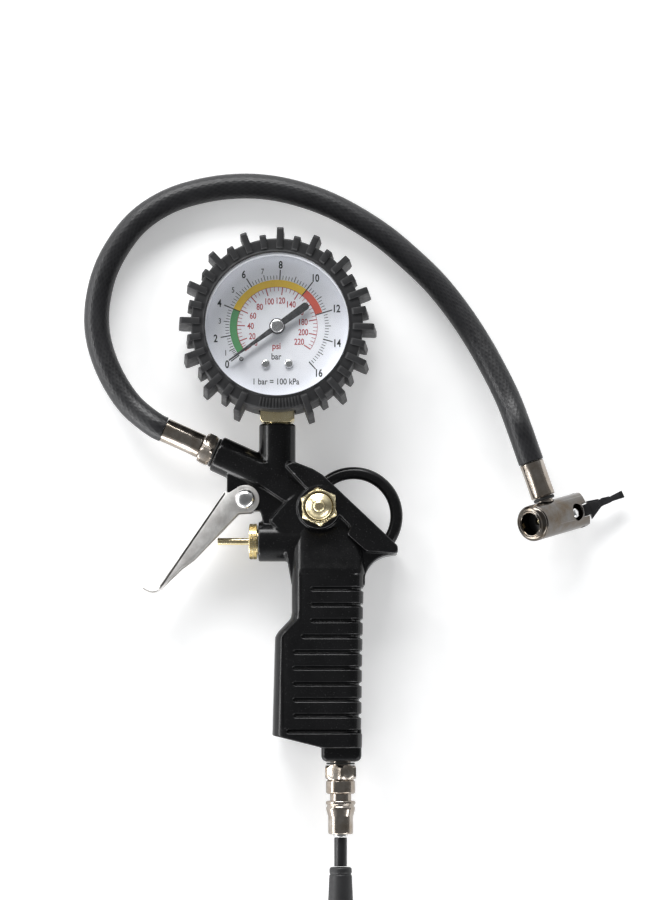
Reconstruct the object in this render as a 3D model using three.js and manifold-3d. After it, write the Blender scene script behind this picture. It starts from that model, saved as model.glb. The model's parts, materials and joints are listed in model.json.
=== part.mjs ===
// Tyre inflator: pistol grip with a trigger valve, a dial gauge in a rubber boot, a hose and a clip-on chuck.
// It lies on its side. +X runs from the trigger to the back of the grip, +Y from the grip to the gauge and
// +Z out of the dial. The origin is on the rest plane, under the middle of the grip. Millimetres.

import * as THREE from "three";
import { mergeVertices } from "three/addons/utils/BufferGeometryUtils.js";
import Module from "manifold-3d";

const wasm = await Module();
wasm.setup();

// ---------- Driving dimensions ----------

const gap = 0.3; // clearance between pieces that touch
const slide = 0.35; // clearance round pieces that move
const degree = Math.PI / 180;

const grip = {
  thickness: 26,
  bottomY: -45.3,
  topY: 51,
  corner: 6.5,
  grooveCount: 10,
  groovePitch: 6.4,
  grooveTopY: 24.5,
  grooveHeight: 1.3,
  grooveDepth: 1.0,
};
const midZ = grip.thickness / 2;

const head = {
  coreHalfThickness: 6.8,
  neckHalfThickness: 7.6,
  bandHalfThickness: 10.8,
  webHalfThickness: 4.5,
};
const barrel = { x: -42.4, y: 80.6, slope: 24.5 * degree, radius: 7.5, length: 44, bore: 4.6, boreDepth: 11 };
const gaugeBoss = { x: -17.5, topY: 92.6, radius: 7.5, bore: 4.9, boreDepth: 12 };
const valveBoss = { x: -25.3, y: 44.4, radius: 8.2, bore: 5.2, depth: 28.4 };
const bleedBoss = { x: -0.4, y: 57.7, radius: 8.8, height: 0.4, bore: 5.0, depth: 15 };
const bleedTop = midZ + head.bandHalfThickness + bleedBoss.height;
const airway = 2.2; // radius of the drilled air passages

const trigger = {
  x: -30.5,
  y: 61.4,
  earRadius: 5.75,
  sheet: 1.0,
  rivetRadius: 1.8,
  domeRadius: 4.1,
  domeHeight: 1.7,
};
const pin = { radius: 1.5, length: 13.2, travel: 4.2 };
const gland = { radius: 7.3, thickness: 3.4, spigot: 7.5, recess: 1.3 };
const poppet = { radius: 3.9, thickness: 2.4 };
const valveSpring = { radius: 3.0, wire: 0.4, turns: 4, length: 8.6 };

const bleed = {
  flats: 14,
  turn: 4.5 * degree,
  hexHeight: 4.2,
  rimRadius: 5.6,
  domeRadius: 4.5,
  domeHeight: 3.4,
  stemRadius: 1.2,
  travel: 1.6,
};

const ring = { x: 13.7, y: 54.9, radius: 17.6, bar: 2.55, socket: 3.0 };

const inlet = { x: 8.4, hexFlats: 12.6, hexHeight: 5.6, collarRadius: 6.0, collarHeight: 6.0 };
const coupler = {
  neckRadius: 4.4,
  neckLength: 9.5,
  sleeveTop: 6.1,
  sleeveEnd: 5.1,
  sleeveLength: 13.6,
  travel: 2.4,
  shankRadius: 4.2,
};
const supply = { neckRadius: 2.6, neckLength: 11.6, bootTop: 4.5, bootEnd: 5.2, bootLength: 17.2 };

const hose = { radius: 5.2 };
const fitting = { flats: 12.6, hexHeight: 4.9, ferruleStart: 6.7, ferruleEnd: 23.5, ferruleRadius: 5.0 };

const chuck = {
  x: 94.0,
  y: 53.5,
  z: 20.4,
  turn: 19 * degree,
  roll: 49 * degree,
  radius: 7.3,
  mouthX: -15,
  rearX: 21,
  bezel: 2.2,
  bore: 4.3,
  ferruleStart: 9.2,
  ferruleEnd: 24,
  ferruleRadius: 5.0,
};
const lever = { pivotX: 17.5, pivotZ: 1.0, rise: 41 * degree, length: 20.6, thickness: 2.2, pinRadius: 0.9 };
const latch = { x: 9.8, radius: 1.9, window: 2.9 };

const caseRadius = 31.6;
const gauge = {
  y: 131.9,
  caseRadius,
  caseWall: 1.1,
  caseDepth: grip.thickness + 1,
  boot: 3.1,
  bootBack: 2.3,
  opening: caseRadius - 2.4,
  socket: 14,
  dialRadius: caseRadius - 1.7,
  spacerBore: caseRadius - 2.5,
  retainerWidth: 0.7,
  lensThickness: 1.6,
};
const lug = {
  positions: 32,
  missing: 3,
  turn: -2 * degree,
  width: 2.7,
  longReach: 4.3,
  shortReach: 1.5,
  backSpread: 1.6,
};
const movement = {
  plate: 0.9,
  pinionPitch: 1.9,
  sectorPitch: 10.4,
  tail: 4.6,
  gearWidth: 1.4,
  arborRadius: 0.6,
  pinionArborRadius: 0.7,
};

// The hose lies on the rest plane between its two raised ends; its inner points are chosen by hand.
const hoseRoute = [
  [-77.9, 100.9, 9.5],
  [-86.4, 113.9, 7.3],
  [-91.4, 127.9, 6.0],
  [-92.4, 139.6, 5.4],
  [-89.9, 154.1, 5.4],
  [-84.8, 165.6, 5.4],
  [-75.9, 177.4, 5.4],
  [-63.9, 185.7, 5.4],
  [-49.2, 190.6, 5.4],
  [-33.5, 192.6, 5.4],
  [-19.8, 191.8, 5.4],
  [-6.3, 188.6, 5.4],
  [4.9, 184.3, 5.4],
  [15.7, 178.5, 5.4],
  [26.9, 171.0, 5.4],
  [36.9, 162.5, 5.4],
  [47.0, 152.7, 5.5],
  [55.9, 141.6, 6.2],
  [64.1, 129.0, 8.2],
  [70.9, 116.3, 11.4],
  [77.1, 102.8, 15.2],
];

// ---------- Materials ----------

const finish = (color, roughness, metalness) =>
  new THREE.MeshStandardMaterial({ color, roughness, metalness });
const blackPaint = finish(0x121213, 0.35, 0.1);
const blackBar = finish(0x161617, 0.3, 0.2);
const brass = finish(0xc9ad6a, 0.28, 1);
const nickel = finish(0xb9b2a8, 0.22, 1);
const steel = finish(0xb4b5b8, 0.38, 1);
const springSteel = finish(0x9a9ca0, 0.35, 1);
const rubber = finish(0x2d2d30, 0.85, 0);
const seal = finish(0x151515, 0.7, 0);
const dialWhite = finish(0xeff1fa, 0.5, 0);
const glass = finish(0xf2f6f8, 0.05, 0);
const needleBlack = finish(0x17181a, 0.4, 0);

// ---------- Solids ----------

/** Merge a closed geometry's shared vertices and hand it to the boolean library. */
function solidOf(geometry) {
  const bare = new THREE.BufferGeometry();
  bare.setAttribute("position", geometry.getAttribute("position").clone());
  if (geometry.index) {
    bare.setIndex(geometry.index.clone());
  }
  const merged = mergeVertices(bare, 1e-4);
  const index = merged.index.array;
  const place = merged.getAttribute("position");
  const corners = [new THREE.Vector3(), new THREE.Vector3(), new THREE.Vector3()];
  const faces = [];
  let volume = 0;
  for (let i = 0; i < index.length; i += 3) {
    const [a, b, c] = [index[i], index[i + 1], index[i + 2]];
    if (a !== b && b !== c && c !== a) {
      faces.push([a, b, c]);
      [a, b, c].forEach((vertex, k) => corners[k].fromBufferAttribute(place, vertex));
      volume += corners[0].dot(corners[1].clone().cross(corners[2]));
    }
  }
  const outward = volume < 0 ? faces.map(([a, b, c]) => [a, c, b]) : faces;
  const mesh = new wasm.Mesh({
    numProp: 3,
    vertProperties: new Float32Array(place.array),
    triVerts: new Uint32Array(outward.flat()),
  });
  return new wasm.Manifold(mesh);
}

/** Turn a solid back into a geometry. */
function geometryOf(solid) {
  const mesh = solid.getMesh();
  const geometry = new THREE.BufferGeometry();
  geometry.setAttribute("position", new THREE.Float32BufferAttribute(mesh.vertProperties, 3));
  geometry.setIndex(Array.from(mesh.triVerts));
  return geometry;
}

/** Join geometries into one. */
function join(...geometries) {
  return geometryOf(geometries.map(solidOf).reduce((whole, next) => whole.add(next)));
}

/** Cut tools out of a base. */
function cut(base, ...tools) {
  return geometryOf(tools.map(solidOf).reduce((whole, tool) => whole.subtract(tool), solidOf(base)));
}

/** Keep what two geometries share. */
function common(first, second) {
  return geometryOf(solidOf(first).intersect(solidOf(second)));
}

/** A round bar along +Y from y0 to y1. */
function rod(radius, y0, y1, sides = 20) {
  return new THREE.CylinderGeometry(radius, radius, y1 - y0, sides).translate(0, (y0 + y1) / 2, 0);
}

/** A hexagonal bar along +Y, measured across its flats. */
function hex(flats, y0, y1) {
  return rod(flats / 2 / Math.cos(30 * degree), y0, y1, 6);
}

/** A profile of [radius, height] points turned about Y; an open profile starts and ends on the axis. */
function turned(profile, sides = 20) {
  return new THREE.LatheGeometry(profile.map(([r, y]) => new THREE.Vector2(r, y)), sides);
}

/** A washer, or any ring of rectangular section, about Y. */
function washer(inner, outer, y0, y1, sides = 18) {
  return turned([[inner, y0], [outer, y0], [outer, y1], [inner, y1], [inner, y0]], sides);
}

/** Stand a shape made about Y up along Z. */
const upright = (geometry) => geometry.rotateX(Math.PI / 2);

/** Lay a shape made about Y along +X. */
const along = (geometry) => geometry.rotateZ(-Math.PI / 2);

/** Carry a shape made along +Y to a start point and a direction. */
function aimed(geometry, from, direction) {
  const turn = new THREE.Quaternion().setFromUnitVectors(
    new THREE.Vector3(0, 1, 0),
    new THREE.Vector3(...direction).normalize(),
  );
  return geometry.applyQuaternion(turn).translate(...from);
}

/** A box between two corners. */
function box(x0, x1, y0, y1, z0, z1) {
  const block = new THREE.BoxGeometry(x1 - x0, y1 - y0, z1 - z0);
  return block.translate((x0 + x1) / 2, (y0 + y1) / 2, (z0 + z1) / 2);
}

/** An outline of [x, y] points raised from z0 to z1, with its edges bevelled inside the outline. */
function prism(outline, z0, z1, bevel = 0) {
  const shape = new THREE.Shape(outline.map(([x, y]) => new THREE.Vector2(x, y)));
  const settings = {
    depth: z1 - z0 - 2 * bevel,
    bevelEnabled: bevel > 0,
    bevelThickness: bevel,
    bevelSize: bevel,
    bevelOffset: -bevel,
    bevelSegments: 1,
  };
  return new THREE.ExtrudeGeometry(shape, settings).translate(0, 0, z0 + bevel);
}

/** Points on an arc, for use inside an outline. */
function arc(x, y, radius, from, to, steps) {
  return Array.from({ length: steps + 1 }, (_, i) => {
    const angle = from + ((to - from) * i) / steps;
    return [x + radius * Math.cos(angle), y + radius * Math.sin(angle)];
  });
}

/** A round bar that follows a curve. */
function bar(curve, radius, steps, sides) {
  const circle = arc(0, 0, radius, 0, 2 * Math.PI, sides).slice(0, -1);
  const section = new THREE.Shape(circle.map(([x, y]) => new THREE.Vector2(x, y)));
  return new THREE.ExtrudeGeometry(section, { steps, bevelEnabled: false, extrudePath: curve });
}

/** A helical compression spring about Y from y0 to y1, its wire inside those heights. */
function spring({ radius, wire, turns }, y0, y1) {
  const points = Array.from({ length: turns * 10 + 1 }, (_, i) => {
    const angle = (i / 10) * 2 * Math.PI;
    const height = y0 + wire + ((y1 - y0 - 2 * wire) * i) / (turns * 10);
    return new THREE.Vector3(radius * Math.cos(angle), height, radius * Math.sin(angle));
  });
  return bar(new THREE.CatmullRomCurve3(points), wire, turns * 10, 6);
}

/** A closed skin over rings of points; every ring has the same number of points. */
function loft(rings) {
  const count = rings[0].length;
  const positions = rings.flat(2);
  const index = [];
  for (let ringIndex = 0; ringIndex < rings.length - 1; ringIndex += 1) {
    for (let i = 0; i < count; i += 1) {
      const a = ringIndex * count + i;
      const b = ringIndex * count + ((i + 1) % count);
      index.push(a, b, a + count, b, b + count, a + count);
    }
  }
  const last = (rings.length - 1) * count;
  for (let i = 1; i < count - 1; i += 1) {
    index.push(0, i + 1, i, last, last + i, last + i + 1);
  }
  const geometry = new THREE.BufferGeometry();
  geometry.setAttribute("position", new THREE.Float32BufferAttribute(positions, 3));
  geometry.setIndex(index);
  return geometry;
}

/** One named piece in its group. */
function piece(group, name, geometry, material) {
  const mesh = new THREE.Mesh(geometryOf(solidOf(geometry)), material);
  mesh.name = name;
  group.add(mesh);
  return mesh;
}

/** A group placed by a position and a turn about Z. */
function groupAt(x, y, z, turnZ = 0) {
  const group = new THREE.Group();
  group.position.set(x, y, z);
  group.rotation.z = turnZ;
  return group;
}

// ---------- Shared places ----------

const barrelOut = [-Math.cos(barrel.slope), Math.sin(barrel.slope), 0];
const barrelIn = barrelOut.map((value) => -value);
const slopeTop = [1.1, 71.1];
const slopeEnd = [31.7, 42.1];
const slopeAngle = Math.atan2(slopeEnd[1] - slopeTop[1], slopeEnd[0] - slopeTop[0]);

/** Everything behind the casting's back slope, to a depth under it. */
function behindSlope(depth) {
  const block = box(-60, 100, -depth, 80, -60, 60);
  return block.rotateZ(slopeAngle).translate(slopeTop[0], slopeTop[1], midZ);
}

// ---------- Body casting ----------

/** A grip section at height y: a rectangle with round corners, thinned by a taper and shrunk by an inset. */
function gripRing(y, frontX, backX, taper, inset) {
  const half = grip.thickness / 2 - taper - inset;
  const corner = grip.corner - inset / 2;
  const [x0, x1] = [frontX + inset + corner, backX - inset - corner];
  const steps = 3;
  const corners = [
    arc(x1, half - corner, corner, 0, Math.PI / 2, steps),
    arc(x0, half - corner, corner, Math.PI / 2, Math.PI, steps),
    arc(x0, corner - half, corner, Math.PI, 1.5 * Math.PI, steps),
    arc(x1, corner - half, corner, 1.5 * Math.PI, 2 * Math.PI, steps),
  ];
  return corners.flat().map(([x, z]) => [x, y, midZ + z]);
}

/** The grip's hand-filling block, from its slanted foot to the head. */
function gripBlock(inset = 0) {
  const fullTaper = grip.thickness / 2 - head.neckHalfThickness + gap;
  const stations = [
    [-40.2, -19.4, 17.1, 0],
    [-34.6, -19.3, 17.2, 0],
    [4.9, -18.3, 17.8, 0],
    [7.6, -16.8, 17.9, 0],
    [13.3, -11.5, 18.0, 0],
    [30, -11.5, 18.4, 0],
    [35, -11.5, 18.4, fullTaper * 0.2],
    [grip.topY, -11.5, 18.4, fullTaper],
  ];
  return loft(stations.map(([y, frontX, backX, taper]) => gripRing(y, frontX, backX, taper, inset)));
}

/** The grooves that wrap round the back and the sides of the grip. */
function gripGrooves() {
  const startX = [-3.6, -3.6, -3.6, -7.4, -10.6, -10.6, -10.6, -10.6, -10.6, -15.2];
  const bands = startX.slice(0, grip.grooveCount).map((x, i) => {
    const y = grip.grooveTopY - i * grip.groovePitch;
    return box(x, 40, y - grip.grooveHeight / 2, y + grip.grooveHeight / 2, -5, grip.thickness + 5);
  });
  return cut(join(...bands), gripBlock(grip.grooveDepth));
}

function bodyCasting() {
  const hangerCorner = arc(29.6, 27.0, 11.6, 165 * degree, 97 * degree, 5);
  const coreOutline = [
    [18.4, 26],
    ...hangerCorner,
    [31.7, 39],
    slopeEnd,
    slopeTop,
    [-2.8, 73.5],
    [-10.8, 76.6],
    [-26, 76.6],
    [-26, 68],
    [-14, 60],
    [-14, 40],
    [-11.5, 26],
  ];
  const neckOutline = [
    [18.4, 26],
    ...hangerCorner,
    [28.2, 42.4],
    [15, 50],
    [7.4, 55.9],
    [-5.9, 67],
    [-13.5, 60.7],
    [-20.5, 52.5],
    [-14, 46],
    [-14, 40],
    [-11.5, 26],
  ];
  const bandOutline = [
    slopeEnd,
    slopeTop,
    [-2.8, 73.5],
    [-10.8, 76.6],
    [-14.1, 75],
    [-5.9, 66],
    [7.4, 55.1],
    [12.5, 49.9],
    [10.9, 46.8],
    [18.8, 39.8],
    [31.7, 39],
  ];
  const webOutline = [
    [-38.1, 73],
    [-38.1, 64.4],
    [-35.8, 59.6],
    [-29, 56.7],
    [-24.4, 56.7],
    [-23.2, 51.6],
    [-8, 49],
    [-8, 66],
  ];
  const side = (outline, half, bevel) => prism(outline, midZ - half, midZ + half, bevel);
  const foot = box(0.5, 16.9, grip.bottomY, -30, midZ - 8.2, midZ + 8.2);
  const footCut = prism([[-40, -29.5], [0.5, -39.6], [0.5, -60], [-40, -60]], -20, grip.thickness + 20);
  const trimmedGrip = cut(gripBlock(), footCut, gripGrooves(), box(-40, 40, -60, -39.8, -20, 60));
  const joined = join(
    trimmedGrip,
    foot,
    side(coreOutline, head.coreHalfThickness, 0.8),
    side(neckOutline, head.neckHalfThickness, 1.2),
    side(bandOutline, head.bandHalfThickness, 0.8),
    side(webOutline, head.webHalfThickness, 0.6),
    aimed(rod(barrel.radius, 0, barrel.length), [barrel.x, barrel.y, midZ], barrelIn),
    rod(gaugeBoss.radius, 70, gaugeBoss.topY).translate(gaugeBoss.x, 0, midZ),
    aimed(rod(valveBoss.radius, 0, 22), [valveBoss.x, valveBoss.y, midZ], [1, 0, 0]),
    upright(rod(bleedBoss.radius, midZ, bleedTop)).translate(bleedBoss.x, bleedBoss.y, 0),
  );
  const ringSocket = common(
    new THREE.TorusGeometry(ring.radius, ring.bar + gap, 10, 40).translate(ring.x, ring.y, midZ),
    behindSlope(ring.socket + gap),
  );
  const barrelAt = (depth) => [barrel.x + barrelIn[0] * depth, barrel.y + barrelIn[1] * depth, midZ];
  const glandFloor = valveBoss.x + gland.recess;
  const chamberEnd = valveBoss.x + valveBoss.depth;
  return cut(
    joined,
    ringSocket,
    aimed(rod(barrel.bore + gap, -1, barrel.boreDepth), barrelAt(0), barrelIn),
    aimed(rod(airway, 0, 40, 12), barrelAt(5), barrelIn),
    rod(gaugeBoss.bore + gap, gaugeBoss.topY - gaugeBoss.boreDepth, 100).translate(gaugeBoss.x, 0, midZ),
    rod(airway, 70, 90, 12).translate(gaugeBoss.x, 0, midZ),
    aimed(rod(valveBoss.bore + gap, -1, valveBoss.depth), [valveBoss.x, valveBoss.y, midZ], [1, 0, 0]),
    aimed(rod(gland.radius - 0.4 + gap, -10, 0), [glandFloor, valveBoss.y, midZ], [1, 0, 0]),
    upright(rod(bleedBoss.bore + gap, bleedTop - bleedBoss.depth, 60)).translate(bleedBoss.x, bleedBoss.y, 0),
    aimed(rod(airway, 0, 14, 12), [chamberEnd - 3, valveBoss.y, midZ], [0.1, 1, 0]),
    aimed(rod(airway, 0, 90, 12), [inlet.x, grip.bottomY, midZ], [chamberEnd - 5 - inlet.x, 90, 0]),
    rod(coupler.shankRadius + gap, grip.bottomY - 1, grip.bottomY + 9).translate(inlet.x, 0, midZ),
    upright(rod(trigger.rivetRadius + gap, -20, 60)).translate(trigger.x, trigger.y, 0),
  );
}

// ---------- Trigger and valve ----------

function triggerGroup() {
  const group = groupAt(trigger.x, trigger.y, midZ);
  const inner = head.webHalfThickness + gap + 0.2;
  const outer = inner + trigger.sheet;
  const flange = [
    ...arc(0, 0, trigger.earRadius, 128 * degree, -68 * degree, 16),
    [-2.7, -5.6],
    [-21.0, -24.6],
    [-25.8, -28.1],
    [-34.2, -36.2],
    [-34.9, -35.4],
    [-8.4, 3.1],
    [-6.6, 2.6],
  ];
  const plate = (z0, z1) => prism(flange, z0, z1);
  const spine = prism([[-8.6, 2.9], [-7.8, 2.2], [-34.4, -36.9], [-35.2, -36.4]], -outer, outer);
  const curl = [
    [-34.2, -36.3],
    [-36.4, -37.1],
    [-37.6, -37.4],
    [-39.0, -37.2],
    [-41.6, -35.9],
    [-42.0, -36.4],
    [-39.2, -37.9],
    [-37.4, -38.2],
    [-35.9, -37.8],
    [-34.9, -37.0],
  ];
  const tip = prism(curl, -outer + 1.4, outer - 1.4);
  const hole = upright(rod(trigger.rivetRadius + gap, -20, 20));
  const pressing = join(plate(inner, outer), plate(-outer, -inner), spine, tip);
  piece(group, "trigger_lever", cut(pressing, hole), steel);

  const headZ = outer + gap;
  const dome = [
    [0, headZ + trigger.domeHeight],
    [trigger.domeRadius * 0.55, headZ + trigger.domeHeight * 0.86],
    [trigger.domeRadius * 0.88, headZ + trigger.domeHeight * 0.45],
    [trigger.domeRadius, headZ],
    [trigger.rivetRadius, headZ],
  ];
  const mirrored = dome.map(([r, z]) => [r, -z]).reverse();
  piece(group, "trigger_rivet", upright(turned([...dome, ...mirrored], 20)), nickel);
  return group;
}

function valveGroup() {
  // Local +Y points out of the boss, towards the trigger, from the floor of the gland's recess.
  const group = groupAt(valveBoss.x + gland.recess, valveBoss.y, midZ, Math.PI / 2);
  const sealThickness = 1.0;
  const outerFace = sealThickness + 2 * gap + gland.thickness;
  const innerFace = outerFace - gland.thickness;
  const pinWay = pin.radius + slide;
  const glandRing = washer(pinWay, gland.radius, innerFace, outerFace, 32);
  const glandSpigot = washer(pinWay, valveBoss.bore, -gland.spigot, innerFace + 0.5);
  piece(group, "valve_gland", join(glandRing, glandSpigot), brass);
  const packing = washer(valveBoss.bore + gap, gland.radius - 0.4, gap, gap + sealThickness);
  piece(group, "gland_seal", packing, seal);
  const seatTop = -gland.spigot - gap - pin.travel;
  const seatBottom = seatTop - 3;
  piece(group, "valve_seat", washer(pin.radius + 1.1, valveBoss.bore, seatBottom, seatTop), brass);
  const poppetTop = seatBottom - gap;
  const stem = rod(pin.radius, poppetTop + gap, outerFace + pin.length - gap, 16);
  piece(group, "push_pin", stem, brass);
  const poppetBottom = poppetTop - poppet.thickness;
  piece(group, "valve_poppet", rod(poppet.radius, poppetBottom, poppetTop), seal);
  const springTop = poppetBottom - gap;
  piece(group, "valve_spring", spring(valveSpring, springTop - valveSpring.length, springTop), springSteel);
  return group;
}

function bleedGroup() {
  const group = groupAt(bleedBoss.x, bleedBoss.y, bleedTop);
  const hexTop = gap + bleed.hexHeight;
  const guide = bleed.rimRadius + slide;
  const floor = 1.6;
  const collar = cut(hex(bleed.flats, gap, hexTop).rotateY(bleed.turn), rod(guide, floor, 20));
  const spigot = rod(bleedBoss.bore, -6, 0.6 + gap);
  const way = rod(bleed.stemRadius + slide, -20, 20);
  piece(group, "deflate_gland", upright(cut(join(collar, spigot), way)), brass);
  const buttonBase = floor + bleed.travel + gap;
  const dome = [
    [0, buttonBase],
    [bleed.rimRadius, buttonBase],
    [bleed.rimRadius, buttonBase + 0.8],
    [bleed.domeRadius, buttonBase + 1.1],
    [bleed.domeRadius, buttonBase + bleed.domeHeight * 0.5],
    [bleed.domeRadius * 0.8, buttonBase + bleed.domeHeight * 0.85],
    [bleed.domeRadius * 0.42, buttonBase + bleed.domeHeight],
    [0, buttonBase + bleed.domeHeight],
  ];
  const stemBottom = -8.5;
  const button = join(turned(dome, 24), rod(bleed.stemRadius, stemBottom, buttonBase + 0.4, 12));
  piece(group, "deflate_button", upright(button), brass);
  piece(group, "deflate_seal", upright(rod(3.6, stemBottom - gap - 1.6, stemBottom - gap)), seal);
  const coil = { radius: 2.6, wire: 0.35, turns: 3 };
  const coilTop = stemBottom - 2 * gap - 1.6;
  piece(group, "deflate_spring", upright(spring(coil, coilTop - 3.4, coilTop)), springSteel);
  return group;
}

// ---------- Hanger ring ----------

function ringGroup() {
  const group = groupAt(0, 0, 0);
  const torus = new THREE.TorusGeometry(ring.radius, ring.bar, 10, 40).translate(ring.x, ring.y, midZ);
  piece(group, "hanger_ring", common(torus, behindSlope(ring.socket)), blackBar);
  return group;
}

// ---------- Air inlet ----------

function inletGroup() {
  // Local +Y points down out of the grip.
  const group = groupAt(inlet.x, grip.bottomY, midZ, Math.PI);
  const hexStart = 0.8 + 2 * gap;
  const hexEnd = hexStart + inlet.hexHeight;
  const collarEnd = hexEnd + inlet.collarHeight;
  const neckEnd = collarEnd + coupler.neckLength;
  const plugHole = supply.neckRadius + 0.4 + gap;
  const shank = rod(coupler.shankRadius, -8, hexStart + 0.5);
  const hexNut = common(hex(inlet.hexFlats, hexStart, hexEnd), turned([
    [0, hexStart],
    [7.4, hexStart],
    [7.4, hexEnd - 1.2],
    [6.0, hexEnd],
    [0, hexEnd],
  ], 24));
  const collar = rod(inlet.collarRadius, hexEnd - 0.5, collarEnd);
  const neck = rod(coupler.neckRadius, collarEnd - 0.5, neckEnd);
  const shell = join(shank, hexNut, collar, neck);
  const adaptor = cut(shell, rod(airway, -20, 60, 12), rod(plugHole, collarEnd - 1, 60));
  piece(group, "inlet_coupler", adaptor, nickel);
  piece(group, "inlet_gasket", washer(coupler.shankRadius + gap, 5.8, gap, gap + 0.8), seal);

  const sleeveStart = collarEnd + gap + coupler.travel;
  const sleeveEnd = sleeveStart + coupler.sleeveLength;
  const inner = coupler.neckRadius + slide;
  piece(group, "inlet_sleeve", turned([
    [inner, sleeveStart],
    [coupler.sleeveTop - 0.4, sleeveStart],
    [coupler.sleeveTop, sleeveStart + 0.6],
    [coupler.sleeveTop - 0.2, sleeveStart + 2.4],
    [coupler.sleeveEnd, sleeveStart + 6],
    [coupler.sleeveEnd, sleeveEnd - 0.5],
    [coupler.sleeveEnd - 0.4, sleeveEnd],
    [supply.neckRadius + 0.8, sleeveEnd],
    [supply.neckRadius + 0.8, neckEnd + coupler.travel + gap],
    [inner, neckEnd + coupler.travel + gap],
    [inner, sleeveStart],
  ]), nickel);

  const plugStart = collarEnd - 1 + gap;
  const plugEnd = sleeveEnd + 1;
  piece(group, "supply_plug", washer(1.4, supply.neckRadius + 0.4, plugStart, plugEnd, 20), steel);
  const neckStart = plugEnd + gap;
  const tubeEnd = neckStart + supply.neckLength;
  piece(group, "supply_neck", washer(1.4, supply.neckRadius, neckStart, tubeEnd, 20), seal);
  const bootStart = tubeEnd + gap;
  const bootEnd = bootStart + supply.bootLength;
  piece(group, "supply_boot", turned([
    [1.4, bootStart],
    [supply.bootTop - 0.3, bootStart],
    [supply.bootTop, bootStart + 0.5],
    [supply.bootEnd, bootEnd],
    [1.4, bootEnd],
    [1.4, bootStart],
  ], 24), rubber);
  return group;
}

// ---------- Hose ----------

/** A crimped ferrule between two heights with rolled ends. */
function ferrule(radius, bore, y0, y1) {
  const roll = 0.5;
  return turned([
    [bore, y0],
    [radius - roll, y0],
    [radius, y0 + roll],
    [radius, y1 - roll],
    [radius - roll, y1],
    [bore, y1],
    [bore, y0],
  ]);
}

const barb = { radius: 2.1, bore: 1.2 };

function hoseEndGroup() {
  // Local +Y points out of the barrel, along the hose.
  const group = groupAt(barrel.x, barrel.y, midZ, Math.PI / 2 - barrel.slope);
  const hexStart = 0.8 + 2 * gap;
  const hexEnd = hexStart + fitting.hexHeight;
  const body = join(
    rod(barrel.bore, gap - barrel.boreDepth + 1, hexStart + 0.5),
    hex(fitting.flats, hexStart, hexEnd),
    rod(barb.radius, hexEnd - 0.5, fitting.ferruleEnd - 2, 16),
  );
  piece(group, "hose_fitting", cut(body, rod(barb.bore, -20, 60, 10)), nickel);
  piece(group, "fitting_washer", washer(barrel.bore + gap, 6.2, gap, gap + 0.8), seal);
  const shell = ferrule(fitting.ferruleRadius, barb.radius + gap, fitting.ferruleStart, fitting.ferruleEnd);
  piece(group, "near_ferrule", shell, nickel);
  return group;
}

function chuckFrame() {
  // Local Y runs from the chuck to the hose, local X from the mouth to the lever.
  const group = groupAt(chuck.x, chuck.y, chuck.z);
  group.rotation.set(0, chuck.roll, chuck.turn, "ZYX");
  group.updateMatrixWorld(true);
  return group;
}

function hoseGroup() {
  const group = groupAt(0, 0, 0);
  const start = new THREE.Vector3(barrel.x, barrel.y, midZ);
  const outward = new THREE.Vector3(...barrelOut);
  const frame = chuckFrame();
  const end = (distance) => new THREE.Vector3(0, distance, 0).applyMatrix4(frame.matrixWorld);
  const nearFace = fitting.ferruleEnd + gap;
  const farFace = chuck.ferruleEnd + gap;
  const points = [
    start.clone().addScaledVector(outward, nearFace),
    start.clone().addScaledVector(outward, nearFace + 3),
    ...hoseRoute.map((point) => new THREE.Vector3(...point)),
    end(farFace + 14),
    end(farFace + 3),
    end(farFace),
  ];
  const route = new THREE.CatmullRomCurve3(points, false, "centripetal");
  piece(group, "hose", bar(route, hose.radius, 40, 10), rubber);
  return group;
}

// ---------- Chuck ----------

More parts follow.
